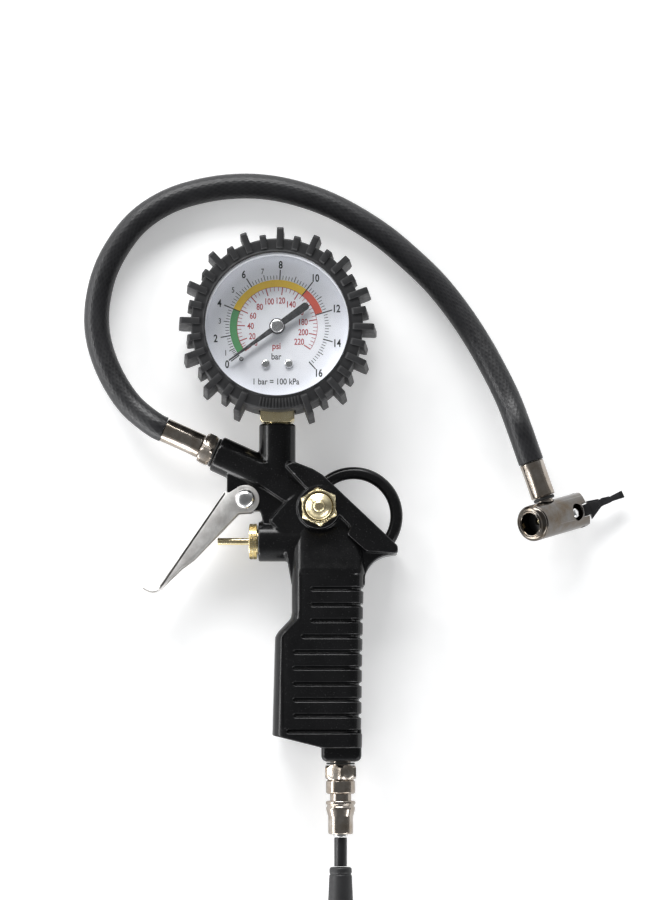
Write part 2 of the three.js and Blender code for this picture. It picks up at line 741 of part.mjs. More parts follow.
function chuckGroup() {
  const group = chuckFrame();
  const bezelBack = chuck.mouthX + chuck.bezel;
  const bodyStart = bezelBack + gap;
  const shell = along(turned([
    [0, bodyStart],
    [chuck.radius, bodyStart],
    [chuck.radius, chuck.rearX - 0.6],
    [chuck.radius - 0.6, chuck.rearX],
    [0, chuck.rearX],
  ], 32));
  const counterbore = 5.6;
  const chamberX = -4.4;
  const rearSlope = [[16.3, 7.3], [21.6, 1.6], [30, 1.6], [30, 20], [16.3, 20]];
  const rearCut = prism(rearSlope, -20, 20).rotateX(Math.PI / 2);
  const slotY = -1;
  const slot = { halfWidth: 2.7, startX: 13.6 };
  const body = cut(
    shell,
    along(rod(counterbore + gap, bodyStart - 1, chamberX)),
    rod(3.4 + gap, 2.4, 12),
    rod(1.6, -1, 3, 12),
    along(rod(1.6, chamberX - 1, 1, 12)),
    rearCut,
    box(slot.startX, 30, slotY - slot.halfWidth, slotY + slot.halfWidth, -2.6, 12),
    upright(rod(latch.window, -1.6, 12, 20)).translate(latch.x, slotY, 0),
    rod(lever.pinRadius + gap, -20, 20, 12).translate(lever.pivotX, 0, lever.pivotZ),
  );
  piece(group, "chuck_body", body, nickel);

  const bezel = turned([
    [chuck.bore, chuck.mouthX + 0.5],
    [chuck.bore + 0.5, chuck.mouthX],
    [chuck.radius - 1.6, chuck.mouthX],
    [chuck.radius - 0.2, chuck.mouthX + 1],
    [chuck.radius - 0.1, bezelBack],
    [counterbore, bezelBack],
    [counterbore, bezelBack + 3.4],
    [chuck.bore, bezelBack + 3.4],
    [chuck.bore, chuck.mouthX + 0.5],
  ], 28);
  piece(group, "chuck_bezel", along(bezel), nickel);
  const sealStart = bezelBack + 3.4 + gap;
  piece(group, "chuck_seal", along(washer(2.0, counterbore, sealStart, sealStart + 2.2)), seal);
  const airWays = [0, 1, 2].map((i) => {
    const angle = i * 120 * degree;
    return rod(1.0, -20, 20, 10).translate(3 * Math.cos(angle), 0, 3 * Math.sin(angle));
  });
  const disc = rod(counterbore, sealStart + 2.2 + gap, chamberX - gap, 18);
  const spider = cut(join(disc, rod(1.1, sealStart + 0.6, chamberX - gap - 0.2, 12)), ...airWays);
  piece(group, "chuck_core_pin", along(spider), brass);
  piece(group, "chuck_latch", upright(turned([
    [0, -1.3],
    [latch.radius, -1.3],
    [latch.radius, 5.4],
    [latch.radius - 0.6, 6.2],
    [0, 6.2],
  ], 16)).translate(latch.x, slotY, 0), nickel);

  piece(group, "chuck_stem", cut(join(
    rod(3.4, 2.4 + gap, 7.5, 20),
    rod(3.0, 7.2, chuck.ferruleStart + 0.8, 20),
    rod(barb.radius, 9, chuck.ferruleEnd - 2, 16),
  ), rod(barb.bore, -5, 60, 10)), nickel);
  piece(group, "chuck_o_ring", washer(3.0 + gap, 4.3, 7.5 + gap, chuck.ferruleStart - gap), seal);
  const bore = barb.radius + gap;
  const shellFar = ferrule(chuck.ferruleRadius, bore, chuck.ferruleStart + 0.8 + gap, chuck.ferruleEnd);
  const skirt = washer(3.0 + gap, chuck.ferruleRadius - 0.4, chuck.ferruleStart, chuck.ferruleStart + 1.4);
  piece(group, "far_ferrule", join(shellFar, skirt), nickel);

  const leverGroup = new THREE.Group();
  leverGroup.position.set(lever.pivotX, 0, lever.pivotZ);
  leverGroup.rotation.y = -lever.rise;
  group.add(leverGroup);
  const blade = [
    [5.2, 2.3],
    [10.4, 1.5],
    [10.8, 1.2],
    [13.6, 1.2],
    [lever.length - 0.3, 1.8],
    [lever.length, -1.1],
    [14.4, -1.3],
    [10.6, -1.8],
    [5.2, -5.2],
  ];
  const armHalf = slot.halfWidth - slide;
  const leverBody = join(
    rod(2.1, slotY - armHalf, slotY + armHalf, 20),
    box(0, 6, slotY - armHalf, slotY + armHalf, -lever.thickness / 2, lever.thickness / 2),
    prism(blade, -lever.thickness / 2, lever.thickness / 2, 0.4),
  );
  piece(leverGroup, "chuck_lever", cut(leverBody, rod(lever.pinRadius + gap, -20, 20, 12)), seal);
  const pinHalf = 5.6;
  const leverPin = rod(lever.pinRadius, -pinHalf, pinHalf, 12);
  piece(group, "chuck_lever_pin", leverPin.translate(lever.pivotX, 0, lever.pivotZ), steel);
  return group;
}

// ---------- Gauge ----------

function gaugeLayout() {
  const caseBack = gauge.bootBack + gap;
  const caseFront = caseBack + gauge.caseDepth;
  const lensTop = caseFront - 1.8;
  const lensBottom = lensTop - gauge.lensThickness;
  const dialTop = lensBottom - 5.4;
  return { caseBack, caseFront, lensTop, lensBottom, dialTop, dialBottom: dialTop - 0.6 };
}

function bootGeometry(layout) {
  const inner = gauge.caseRadius + gap;
  const outer = inner + gauge.boot;
  const front = layout.caseFront + gap + 1.9;
  const shell = upright(turned([
    [gauge.caseRadius - 4.6, 0],
    [outer - 0.8, 0],
    [outer, 0.8],
    [outer, front - 1.2],
    [outer - 1.2, front],
    [gauge.opening + 0.5, front],
    [gauge.opening, front - 0.5],
    [gauge.opening, layout.caseFront + gap],
    [inner, layout.caseFront + gap],
    [inner, gauge.bootBack],
    [gauge.caseRadius - 4.6, gauge.bootBack],
    [gauge.caseRadius - 4.6, 0],
  ], 40));
  const lugs = [];
  const firstMissing = (lug.missing - 1) / 2;
  for (let i = 0; i < lug.positions; i += 1) {
    const fromBottom = Math.min(i, lug.positions - i);
    if (fromBottom > firstMissing) {
      const reach = outer + (i % 2 === 0 ? lug.longReach : lug.shortReach);
      const side = [
        [outer - 1.6, 5],
        [reach + lug.backSpread, 7],
        [reach, front - 1.2],
        [reach - 0.6, front + 0.8],
        [gauge.opening + 1.6, front + 0.8],
        [gauge.opening + 1.6, front - 1.2],
        [outer - 1.6, front - 2.6],
      ];
      const block = prism(side, -lug.width / 2, lug.width / 2).rotateX(Math.PI / 2);
      lugs.push(block.rotateZ(lug.turn - Math.PI / 2 + (i * 2 * Math.PI) / lug.positions));
    }
  }
  const half = gauge.socket / 2 + gap + 0.2;
  const socketWay = box(-half, half, -outer - 5, -outer + 6, midZ - half, midZ + half);
  return cut(join(shell, ...lugs), socketWay);
}

function gaugeShell(group, layout) {
  const { caseBack, caseFront, lensTop, lensBottom, dialTop } = layout;
  piece(group, "gauge_boot", bootGeometry(layout), rubber);
  const wall = gauge.caseWall;
  const cup = upright(turned([
    [0, caseBack],
    [gauge.caseRadius - 1, caseBack],
    [gauge.caseRadius, caseBack + 1],
    [gauge.caseRadius, caseFront],
    [gauge.caseRadius - wall, caseFront],
    [gauge.caseRadius - wall, caseBack + wall],
    [0, caseBack + wall],
  ], 40));
  const half = gauge.socket / 2 + gap;
  const socketWay = box(-half, half, -gauge.caseRadius - 1, -gauge.caseRadius + 5, midZ - half, midZ + half);
  piece(group, "gauge_case", cut(cup, socketWay), blackPaint);
  const bezelOuter = gauge.caseRadius - wall - gap;
  const retainer = washer(bezelOuter - gauge.retainerWidth, bezelOuter, lensTop + gap, caseFront - 0.2, 40);
  piece(group, "gauge_bezel", upright(retainer), blackPaint);
  piece(group, "gauge_lens", upright(rod(bezelOuter, lensBottom, lensTop, 40)), glass);
  const spacer = washer(gauge.spacerBore, bezelOuter, dialTop + gap, lensBottom - gap, 40);
  piece(group, "dial_spacer", upright(spacer), dialWhite);
}

const toothHeight = 0.42;
const sectorPivot = (() => {
  const distance = movement.pinionPitch + movement.sectorPitch + 0.1;
  const angle = -31.4 * degree;
  return [distance * Math.cos(angle), distance * Math.sin(angle)];
})();

/** A gear outline with straight-sided teeth over part of a circle. */
function teeth(radius, addendum, pitchAngle, from, count) {
  const points = [];
  for (let i = 0; i < count; i += 1) {
    const start = from + i * pitchAngle;
    points.push(...arc(0, 0, radius - addendum, start, start + pitchAngle * 0.34, 1));
    const tip = [start + pitchAngle * 0.58, start + pitchAngle * 0.76];
    points.push(...arc(0, 0, radius + addendum * 0.7, ...tip, 1));
  }
  return points;
}

function gaugeMovement(group, layout) {
  const { dialTop, dialBottom } = layout;
  const blockHalf = 3.6;
  const backPlate = { top: midZ - blockHalf - gap };
  backPlate.bottom = backPlate.top - movement.plate;
  const frontPlate = { bottom: midZ + blockHalf + gap };
  frontPlate.top = frontPlate.bottom + movement.plate;
  const blockTopY = -13.4;
  const shoulder = -gauge.caseRadius - gap * 2;

  // Socket: a square shoulder outside the case, a thread in the boss and a block that carries the movement.
  const half = gauge.socket / 2;
  const square = half - 1.2;
  const socketBottom = gaugeBoss.topY + gap - gauge.y;
  const nut = prism([
    [-half, socketBottom + 0.9],
    [-square, socketBottom],
    [square, socketBottom],
    [half, socketBottom + 0.9],
    [half, shoulder + 4.6],
    [-half, shoulder + 4.6],
  ], midZ - half, midZ + half);
  const socket = cut(
    join(
      nut,
      rod(gaugeBoss.bore, socketBottom - gaugeBoss.boreDepth + 1, socketBottom + 1).translate(0, 0, midZ),
      box(-5.4, 5.4, shoulder + 4, blockTopY, midZ - blockHalf, midZ + blockHalf),
    ),
    rod(1.3, socketBottom - 20, -19, 10).translate(0, 0, midZ),
    aimed(rod(1.0, 0, 20, 10), [0, -20, midZ], [-1, 0, 0]),
  );
  piece(group, "gauge_socket", socket, brass);

  const plateOutline = [[-6.4, -17], [6.6, -17], [14.5, -10.6], [14.5, -1.5], [6.5, 6.2], [-6.4, 6.2]];
  const hole = (x, y, radius) => upright(rod(radius, -60, 60, 12)).translate(x, y, 0);
  const arborHole = hole(...sectorPivot, movement.arborRadius + gap);
  const pinionHole = hole(0, 0, movement.pinionArborRadius + gap);
  const posts = [[-4.9, 4.7], [-4.2, -9.4]].map(([x, y]) => (
    upright(rod(1.1, backPlate.top - 0.3, frontPlate.bottom - gap, 12)).translate(x, y, 0)
  ));
  const back = join(prism(plateOutline, backPlate.bottom, backPlate.top), ...posts);
  piece(group, "movement_back_plate", cut(back, arborHole, pinionHole), brass);
  const screwPlaces = [[-4.7, -15.2], [4.7, -15.2]];
  const bosses = screwPlaces.map(([x, y]) => (
    upright(rod(1.9, frontPlate.top - 0.3, dialBottom - gap, 16)).translate(x, y, 0)
  ));
  const screwHoles = screwPlaces.map(([x, y]) => hole(x, y, 1.2).translate(0, 0, frontPlate.top + 60));
  const front = join(prism(plateOutline, frontPlate.bottom, frontPlate.top), ...bosses);
  piece(group, "movement_front_plate", cut(front, arborHole, pinionHole, ...screwHoles), brass);

  const stopAt = [19.7 * Math.cos(222 * degree), 19.7 * Math.sin(222 * degree)];
  const dial = upright(rod(gauge.dialRadius, dialBottom, dialTop, 40));
  const dialHoles = screwPlaces.map(([x, y]) => hole(x, y, 1.2));
  piece(group, "dial_plate", cut(dial, hole(0, 0, 1.6), hole(...stopAt, 0.9), ...dialHoles), dialWhite);
  screwPlaces.forEach(([x, y], i) => {
    const cheese = rod(1.8, dialTop + gap, dialTop + gap + 1.0, 20);
    const shank = rod(0.9, frontPlate.top + 0.4, dialTop + gap + 0.5, 12);
    const slot = box(-3, 3, dialTop + gap + 0.6, dialTop + 4, -0.25, 0.25);
    piece(group, `dial_screw_${i + 1}`, upright(cut(join(cheese, shank), slot)).translate(x, y, 0), steel);
  });
  const stop = upright(rod(0.6, dialBottom - 0.2, dialTop + 3, 12));
  piece(group, "pointer_stop", stop.translate(...stopAt, 0), steel);
  return { backPlate, frontPlate };
}

function gaugeGroup() {
  const group = groupAt(gaugeBoss.x, gauge.y, 0);
  const layout = gaugeLayout();
  gaugeShell(group, layout);
  const { backPlate, frontPlate } = gaugeMovement(group, layout);
  const { dialTop } = layout;

  // Pinion, sector and hairspring, meshed with the pointer at zero.
  const pinionTeeth = 10;
  const pinionStep = (2 * Math.PI) / pinionTeeth;
  const sectorStep = pinionStep * (movement.pinionPitch / movement.sectorPitch);
  const gearBottom = backPlate.top + 3.2;
  const gearTop = gearBottom + movement.gearWidth;
  const toPivot = Math.atan2(sectorPivot[1], sectorPivot[0]);
  const toPinion = toPivot + Math.PI;
  const firstTooth = toPivot + pinionStep * 0.33;
  const pinionOutline = teeth(movement.pinionPitch, toothHeight, pinionStep, firstTooth, pinionTeeth);
  const arborEnds = [backPlate.bottom - 0.4, dialTop + 2.9];
  const pinionArbor = upright(rod(movement.pinionArborRadius, ...arborEnds, 10));
  const pinion = prism(pinionOutline, gearBottom - 0.4, gearTop + 0.4);
  piece(group, "pinion_shaft", join(pinion, pinionArbor), brass);

  const sectorCount = 12;
  const meshPhase = 0.17;
  const sectorFrom = toPinion - sectorStep * (sectorCount - 2 + meshPhase);
  const sectorTo = sectorFrom + sectorStep * sectorCount;
  const rim = teeth(movement.sectorPitch, toothHeight, sectorStep, sectorFrom, sectorCount);
  const flat = (outline) => prism(outline, gearBottom, gearTop);
  const spoke = flat([[0, -1.1], [7.4, -1.1], [7.4, 1.1], [0, 1.1]]).rotateZ((sectorFrom + sectorTo) / 2);
  const tailReach = -movement.tail - 1;
  const tailArm = flat([[0, -1], [tailReach, -1], [tailReach, 1], [0, 1]]).rotateZ(toPinion);
  const hub = flat(arc(0, 0, 1.9, 0, 2 * Math.PI, 16).slice(0, -1));
  const sectorPlate = flat([...rim, ...arc(0, 0, 6.6, sectorTo, sectorFrom, 8)]);
  const arborHole = upright(rod(movement.arborRadius + gap, -60, 60, 12));
  const sector = cut(join(sectorPlate, spoke, hub, tailArm), arborHole);
  piece(group, "sector_gear", sector.translate(...sectorPivot, 0), brass);
  const arbor = upright(rod(movement.arborRadius, backPlate.bottom - 0.4, frontPlate.top + 0.4, 12));
  piece(group, "sector_arbor", arbor.translate(...sectorPivot, 0), steel);

  const spiral = (offset) => Array.from({ length: 41 }, (_, i) => {
    const angle = (i / 40) * 5 * Math.PI;
    const radius = 1.35 + (i / 40) * 3.4 + offset;
    return [radius * Math.cos(angle), radius * Math.sin(angle)];
  });
  const hairspring = prism([...spiral(0.12), ...spiral(-0.12).reverse()], gearTop + 0.9, gearTop + 1.5);
  piece(group, "hairspring", hairspring, brass);

  // Bourdon tube: from the block round the left, the top and the right to its free tip.
  const tubeRadius = 24;
  const from = 255.5 * degree;
  const to = -12 * degree;
  const section = [...arc(0, 3.2, 1.0, 0, Math.PI, 4), ...arc(0, -3.2, 1.0, Math.PI, 2 * Math.PI, 4)];
  const ringsOf = Array.from({ length: 25 }, (_, i) => {
    const angle = from + ((to - from) * i) / 24;
    return section.map(([r, z]) => [
      (tubeRadius + r) * Math.cos(angle),
      (tubeRadius + r) * Math.sin(angle),
      midZ + z,
    ]);
  });
  piece(group, "bourdon_tube", loft(ringsOf), brass);

  const tailEnd = [
    sectorPivot[0] + movement.tail * Math.cos(toPivot),
    sectorPivot[1] + movement.tail * Math.sin(toPivot),
  ];
  const tipEnd = [19.9, -7.6];
  const linkAngle = Math.atan2(tipEnd[1] - tailEnd[1], tipEnd[0] - tailEnd[0]);
  const linkLength = Math.hypot(tipEnd[0] - tailEnd[0], tipEnd[1] - tailEnd[1]);
  const linkOutline = [
    ...arc(linkLength, 0, 0.9, -Math.PI / 2, Math.PI / 2, 5),
    ...arc(0, 0, 0.9, Math.PI / 2, 1.5 * Math.PI, 5),
  ];
  const linkTop = gearBottom - gap;
  const link = prism(linkOutline, linkTop - 0.8, linkTop).rotateZ(linkAngle).translate(...tailEnd, 0);
  piece(group, "tip_link", link, steel);

  // Pointer: made along +X and turned to the zero mark.
  const zeroAngle = 215.5 * degree;
  const pointerBottom = dialTop + 1.8;
  const needle = prism([
    [-15.2, -1.2],
    ...arc(-14.4, 0, 1.2, -Math.PI / 2, -1.5 * Math.PI, 6).slice(1, -1),
    [-15.2, 1.2],
    [0, 0.9],
    [24.1, 0.25],
    [24.1, -0.25],
    [0, -0.9],
  ], pointerBottom, pointerBottom + 0.6);
  const pointerBore = movement.pinionArborRadius + gap;
  const pointerHub = upright(washer(pointerBore, 2.2, pointerBottom - 0.8, pointerBottom + 0.9, 20));
  const pointer = cut(join(needle, pointerHub), upright(rod(pointerBore, -60, 60, 12)));
  piece(group, "pointer", pointer.rotateZ(zeroAngle), needleBlack);
  const capBottom = Math.max(pointerBottom + 0.9, arborEnds[1]) + gap;
  piece(group, "pointer_cap", upright(turned([
    [0, capBottom],
    [2.7, capBottom],
    [2.7, capBottom + 0.4],
    [1.9, capBottom + 1.0],
    [0, capBottom + 1.1],
  ], 24)), nickel);
  return group;
}

// ---------- Assembly ----------

const inflator = new THREE.Group();
const casting = groupAt(0, 0, 0);
piece(casting, "body_casting", bodyCasting(), blackPaint);
inflator.add(
  casting,
  triggerGroup(),
  valveGroup(),
  bleedGroup(),
  ringGroup(),
  inletGroup(),
  hoseEndGroup(),
  hoseGroup(),
  chuckGroup(),
  gaugeGroup(),
);

export default inflator;
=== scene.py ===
"""Looks of a pistol-grip tyre inflator with a dial gauge, a short hose and a clip-on chuck.

Every piece is built in millimetres, finished as a mesh and brought to metres at the end, in the frame of
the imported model: +X runs from the trigger to the back of the grip, +Y from the grip to the gauge and +Z
out of the dial.
"""

import json
import logging
import math
from dataclasses import dataclass, field
from enum import Enum
from typing import Callable, Iterable, Sequence

import bmesh
import bpy
from mathutils import Matrix, Vector


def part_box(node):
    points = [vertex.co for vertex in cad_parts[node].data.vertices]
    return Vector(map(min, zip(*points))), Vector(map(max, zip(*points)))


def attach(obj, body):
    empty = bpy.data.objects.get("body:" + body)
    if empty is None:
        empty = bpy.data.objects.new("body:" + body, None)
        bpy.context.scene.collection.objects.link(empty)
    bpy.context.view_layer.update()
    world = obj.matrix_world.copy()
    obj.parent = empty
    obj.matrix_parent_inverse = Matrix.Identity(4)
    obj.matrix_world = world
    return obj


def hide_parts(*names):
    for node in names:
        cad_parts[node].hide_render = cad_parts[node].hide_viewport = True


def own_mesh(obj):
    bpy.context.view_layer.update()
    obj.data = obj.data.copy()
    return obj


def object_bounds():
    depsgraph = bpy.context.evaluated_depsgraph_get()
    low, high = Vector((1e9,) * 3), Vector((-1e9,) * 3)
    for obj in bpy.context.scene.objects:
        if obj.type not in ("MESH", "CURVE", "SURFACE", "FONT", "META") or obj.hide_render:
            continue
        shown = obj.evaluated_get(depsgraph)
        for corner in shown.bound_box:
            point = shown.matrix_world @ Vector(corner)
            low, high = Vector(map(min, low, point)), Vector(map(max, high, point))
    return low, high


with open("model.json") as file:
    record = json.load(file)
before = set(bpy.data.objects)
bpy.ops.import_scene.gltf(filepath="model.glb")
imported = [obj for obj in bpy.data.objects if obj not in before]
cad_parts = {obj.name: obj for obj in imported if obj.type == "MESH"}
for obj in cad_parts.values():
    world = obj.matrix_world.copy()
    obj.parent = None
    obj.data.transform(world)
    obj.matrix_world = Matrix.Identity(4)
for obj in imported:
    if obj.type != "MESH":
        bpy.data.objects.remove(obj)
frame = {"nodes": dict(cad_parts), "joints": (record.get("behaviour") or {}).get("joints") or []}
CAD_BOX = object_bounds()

log = logging.getLogger("inflator")

MM = 0.001
DEG = math.pi / 180
Pair = tuple[float, float]
Triple = tuple[float, float, float]
Tint = tuple[float, float, float]


# ---------------------------------------------------------------- shells and meshes


@dataclass
class Shell:
    """A closed surface in millimetres, held as points and faces."""

    points: list[Vector]
    faces: list[tuple[int, ...]]

    def placed(self, matrix: Matrix) -> "Shell":
        """Return a copy carried by a matrix."""
        return Shell([matrix @ point for point in self.points], list(self.faces))

    def shifted(self, x: float = 0.0, y: float = 0.0, z: float = 0.0) -> "Shell":
        """Return a copy moved by an offset."""
        return self.placed(Matrix.Translation((x, y, z)))


def aim(origin: Sequence[float], axis: Sequence[float], side: Sequence[float] = (0.0, 0.0, 1.0)) -> Matrix:
    """Build the matrix of a local frame.

    Args:
        origin: Where the local origin goes.
        axis: Where local +Z points.
        side: The direction that local +X keeps as close to as it can.

    Returns:
        A matrix from the local frame to the object's frame.
    """
    up = Vector(axis).normalized()
    across = Vector(side) - up * up.dot(Vector(side))
    if across.length < 1e-6:
        across = up.orthogonal()
    across.normalize()
    turn = Matrix((across, up.cross(across), up)).transposed().to_4x4()
    return Matrix.Translation(origin) @ turn


def softened(profile: Sequence[Pair], radius: float, closed: bool = False, steps: int = 4) -> list[Pair]:
    """Round the corners of a profile.

    Args:
        profile: The corner points.
        radius: How far along its edges each corner is set back.
        closed: Whether the last point joins the first.
        steps: How many points each rounded corner takes.

    Returns:
        The rounded profile.
    """
    count = len(profile)
    out: list[Pair] = []
    for i, corner in enumerate(profile):
        if not closed and i in (0, count - 1):
            out.append(corner)
            continue
        here = Vector(corner)
        before = Vector(profile[i - 1]) - here
        after = Vector(profile[(i + 1) % count]) - here
        start = here + before.normalized() * min(radius, before.length * 0.45)
        end = here + after.normalized() * min(radius, after.length * 0.45)
        for step in range(steps + 1):
            t = step / steps
            point = start * (1 - t) ** 2 + here * 2 * t * (1 - t) + end * t * t
            out.append((point.x, point.y))
    return out


def turned(profile: Sequence[Pair], sides: int = 96, closed: bool = False,
           ripple: Callable[[float, float], float] | None = None) -> Shell:
    """Turn a profile of (radius, height) points about local Z.

    Args:
        profile: The points; an open profile starts and ends on the axis.
        sides: How many columns go round.
        closed: Whether the profile is a loop clear of the axis.
        ripple: A change of radius from the angle and the height.

    Returns:
        The turned shell.
    """
    points: list[Vector] = []
    rows: list[list[int]] = []
    for radius, height in profile:
        if radius < 1e-6:
            rows.append([len(points)] * sides)
            points.append(Vector((0, 0, height)))
            continue
        rows.append(list(range(len(points), len(points) + sides)))
        for i in range(sides):
            angle = 2 * math.pi * i / sides
            reach = radius + (ripple(angle, height) if ripple else 0.0)
            points.append(Vector((reach * math.cos(angle), reach * math.sin(angle), height)))
    faces: list[tuple[int, ...]] = []
    last = len(rows) if closed else len(rows) - 1
    for row in range(last):
        low, high = rows[row], rows[(row + 1) % len(rows)]
        for i in range(sides):
            j = (i + 1) % sides
            face = tuple(dict.fromkeys((low[i], low[j], high[j], high[i])))
            if len(face) > 2:
                faces.append(face)
    return Shell(points, faces)


def ring(inner: float, outer: float, low: float, high: float, soft: float = 0.2, sides: int = 96) -> Shell:
    """A washer about local Z with rounded edges."""
    profile = [(inner, low), (outer, low), (outer, high), (inner, high)]
    return turned(softened(profile, soft, closed=True), sides, closed=True)


def bar(radius: float, low: float, high: float, soft: float = 0.2, sides: int = 64) -> Shell:
    """A round bar about local Z with rounded ends."""
    return turned(softened([(0, low), (radius, low), (radius, high), (0, high)], soft), sides)


def slab(outline: Sequence[Pair], low: float, high: float) -> Shell:
    """Raise an outline of (x, y) points from one height to another."""
    count = len(outline)
    points = [Vector((x, y, z)) for z in (low, high) for x, y in outline]
    faces: list[tuple[int, ...]] = [tuple(range(count)), tuple(range(count, 2 * count))]
    faces += [(i, (i + 1) % count, count + (i + 1) % count, count + i) for i in range(count)]
    return Shell(points, faces)


def block(x0: float, x1: float, y0: float, y1: float, z0: float, z1: float) -> Shell:
    """A rectangular block between two corners."""
    return slab([(x0, y0), (x1, y0), (x1, y1), (x0, y1)], z0, z1)


def arc(x: float, y: float, radius: float, start: float, end: float, steps: int) -> list[Pair]:
    """Points on an arc, from one angle to another in degrees."""
    turns = [(start + (end - start) * i / steps) * DEG for i in range(steps + 1)]
    return [(x + radius * math.cos(t), y + radius * math.sin(t)) for t in turns]


def hexagon(flats: float, low: float, high: float, chamfer: float) -> Shell:
    """A nut blank about local Z, its corners turned down at both ends.

    Args:
        flats: The distance across the flats.
        low: Its lower face.
        high: Its upper face.
        chamfer: How far the turned corners come in at each face.

    Returns:
        The blank, with a point of its outline on local +X.
    """
    around = 96
    corner = flats / 2 / math.cos(30 * DEG)
    face = flats / 2 - 0.2

    def reach(angle: float, limit: float) -> float:
        wrapped = (angle + math.pi / 6) % (math.pi / 3) - math.pi / 6
        return min(limit, flats / 2 / math.cos(wrapped - math.copysign(math.pi / 6, wrapped)))

    limits = [(face, low), (corner, low + chamfer), (corner, high - chamfer), (face, high)]
    points: list[Vector] = [Vector((0, 0, low))]
    rows: list[list[int]] = []
    for limit, height in limits:
        rows.append(list(range(len(points), len(points) + around)))
        for i in range(around):
            angle = 2 * math.pi * i / around
            r = reach(angle, limit)
            points.append(Vector((r * math.cos(angle), r * math.sin(angle), height)))
    points.append(Vector((0, 0, high)))
    faces: list[tuple[int, ...]] = []
    for i in range(around):
        j = (i + 1) % around
        faces.append((0, rows[0][j], rows[0][i]))
        faces.append((len(points) - 1, rows[-1][i], rows[-1][j]))
        for lower, upper in zip(rows, rows[1:]):
            faces.append((lower[i], lower[j], upper[j], upper[i]))
    return Shell(points, faces)


def swept(path: Sequence[Vector], section: Sequence[Pair]) -> Shell:
    """Carry a section of (side, up) points along a path, with closed ends."""
    count = len(section)
    points: list[Vector] = []
    for centre, side, up in carried_frames(path):
        points += [centre + side * a + up * b for a, b in section]
    faces: list[tuple[int, ...]] = []
    for row in range(len(path) - 1):
        for i in range(count):
            a, b = row * count + i, row * count + (i + 1) % count
            faces.append((a, b, b + count, a + count))
    last = (len(path) - 1) * count
    faces.append(tuple(reversed(range(count))))
    faces.append(tuple(range(last, last + count)))
    return Shell(points, faces)


def carried_frames(path: Sequence[Vector]) -> list[tuple[Vector, Vector, Vector]]:
    """Carry a side and an up direction along a path without twist."""
    frames: list[tuple[Vector, Vector, Vector]] = []
    side = Vector((0, 0, 0))
    for i, centre in enumerate(path):
        ahead = (path[min(i + 1, len(path) - 1)] - path[max(i - 1, 0)]).normalized()
        side = ahead.orthogonal() if i == 0 else side - ahead * side.dot(ahead)
        side.normalize()
        frames.append((centre, side, ahead.cross(side)))
    return frames


def mesh_of(name: str, shells: Iterable[Shell]) -> bpy.types.Mesh:
    """Join shells into one mesh, each with its faces pointing out."""
    work = bmesh.new()
    for shell in shells:
        verts = [work.verts.new(point) for point in shell.points]
        for face in shell.faces:
            work.faces.new([verts[i] for i in face])
    bmesh.ops.recalc_face_normals(work, faces=work.faces)
    mesh = bpy.data.meshes.new(name)
    work.to_mesh(mesh)
    work.free()
    return mesh


def baked(obj: bpy.types.Object) -> bpy.types.Mesh:
    """Evaluate an object with its modifiers, remove it and return the plain mesh."""
    bpy.context.view_layer.update()
    graph = bpy.context.evaluated_depsgraph_get()
    mesh = bpy.data.meshes.new_from_object(obj.evaluated_get(graph))
    source = obj.data
    bpy.data.objects.remove(obj)
    bpy.data.meshes.remove(source)
    return mesh


def bench(mesh: bpy.types.Mesh) -> bpy.types.Object:
    """Put a mesh on a scratch object, ready for modifiers."""
    obj = bpy.data.objects.new("bench", mesh)
    bpy.context.scene.collection.objects.link(obj)
    return obj


def eased(mesh: bpy.types.Mesh, width: float, segments: int = 2, angle: float = 30.0) -> bpy.types.Mesh:
    """Round a mesh's hard edges.

    Args:
        mesh: The mesh, which is used up.
        width: The width of the rounding.
        segments: How many strips make it.
        angle: The smallest edge angle that is rounded, in degrees.

    Returns:
        The rounded mesh.
    """
    obj = bench(mesh)
    bevel = obj.modifiers.new("edges", "BEVEL")
    bevel.width = width
    bevel.segments = segments
    bevel.limit_method = "ANGLE"
    bevel.angle_limit = angle * DEG
    return baked(obj)


class Joint(Enum):
    """How one mesh is worked with another."""

    ADD = "UNION"
    CUT = "DIFFERENCE"


def worked(mesh: bpy.types.Mesh, how: Joint, tools: Sequence[bpy.types.Mesh]) -> bpy.types.Mesh:
    """Join tools to a mesh or cut them out of it; the meshes are used up."""
    base = bench(mesh)
    others = [bench(tool) for tool in tools]
    for other in others:
        step = base.modifiers.new("step", "BOOLEAN")
        step.operation = how.value
        step.solver = "EXACT"
        step.object = other
    result = baked(base)
    for other in others:
        data = other.data
        bpy.data.objects.remove(other)
        bpy.data.meshes.remove(data)
    return result


def drilled(mesh: bpy.types.Mesh, tools: Iterable[Shell]) -> bpy.types.Mesh:
    """Cut shells out of a mesh, one after another; the mesh is used up."""
    return worked(mesh, Joint.CUT, [mesh_of("tool", [tool]) for tool in tools])


def moulded(mesh: bpy.types.Mesh, grain: float, passes: int) -> bpy.types.Mesh:
    """Fuse overlapping bodies into one skin with soft inside and outside corners.

    Args:
        mesh: The overlapping bodies, used up.
        grain: The size of the skin's faces.
        passes: How many smoothing passes soften the corners.

    Returns:
        The fused mesh.
    """
    obj = bench(mesh)
    skin = obj.modifiers.new("skin", "REMESH")
    skin.mode = "VOXEL"
    skin.voxel_size = grain
    ease = obj.modifiers.new("ease", "SMOOTH")
    ease.factor = 0.5
    ease.iterations = passes
    return baked(obj)


# ---------------------------------------------------------------- geometry node trees


def socket_key(tree: bpy.types.NodeTree, name: str) -> str:
    """Find the identifier of a tree's named input."""
    found = [item for item in tree.interface.items_tree if item.name == name and item.in_out == "INPUT"]
    return found[0].identifier


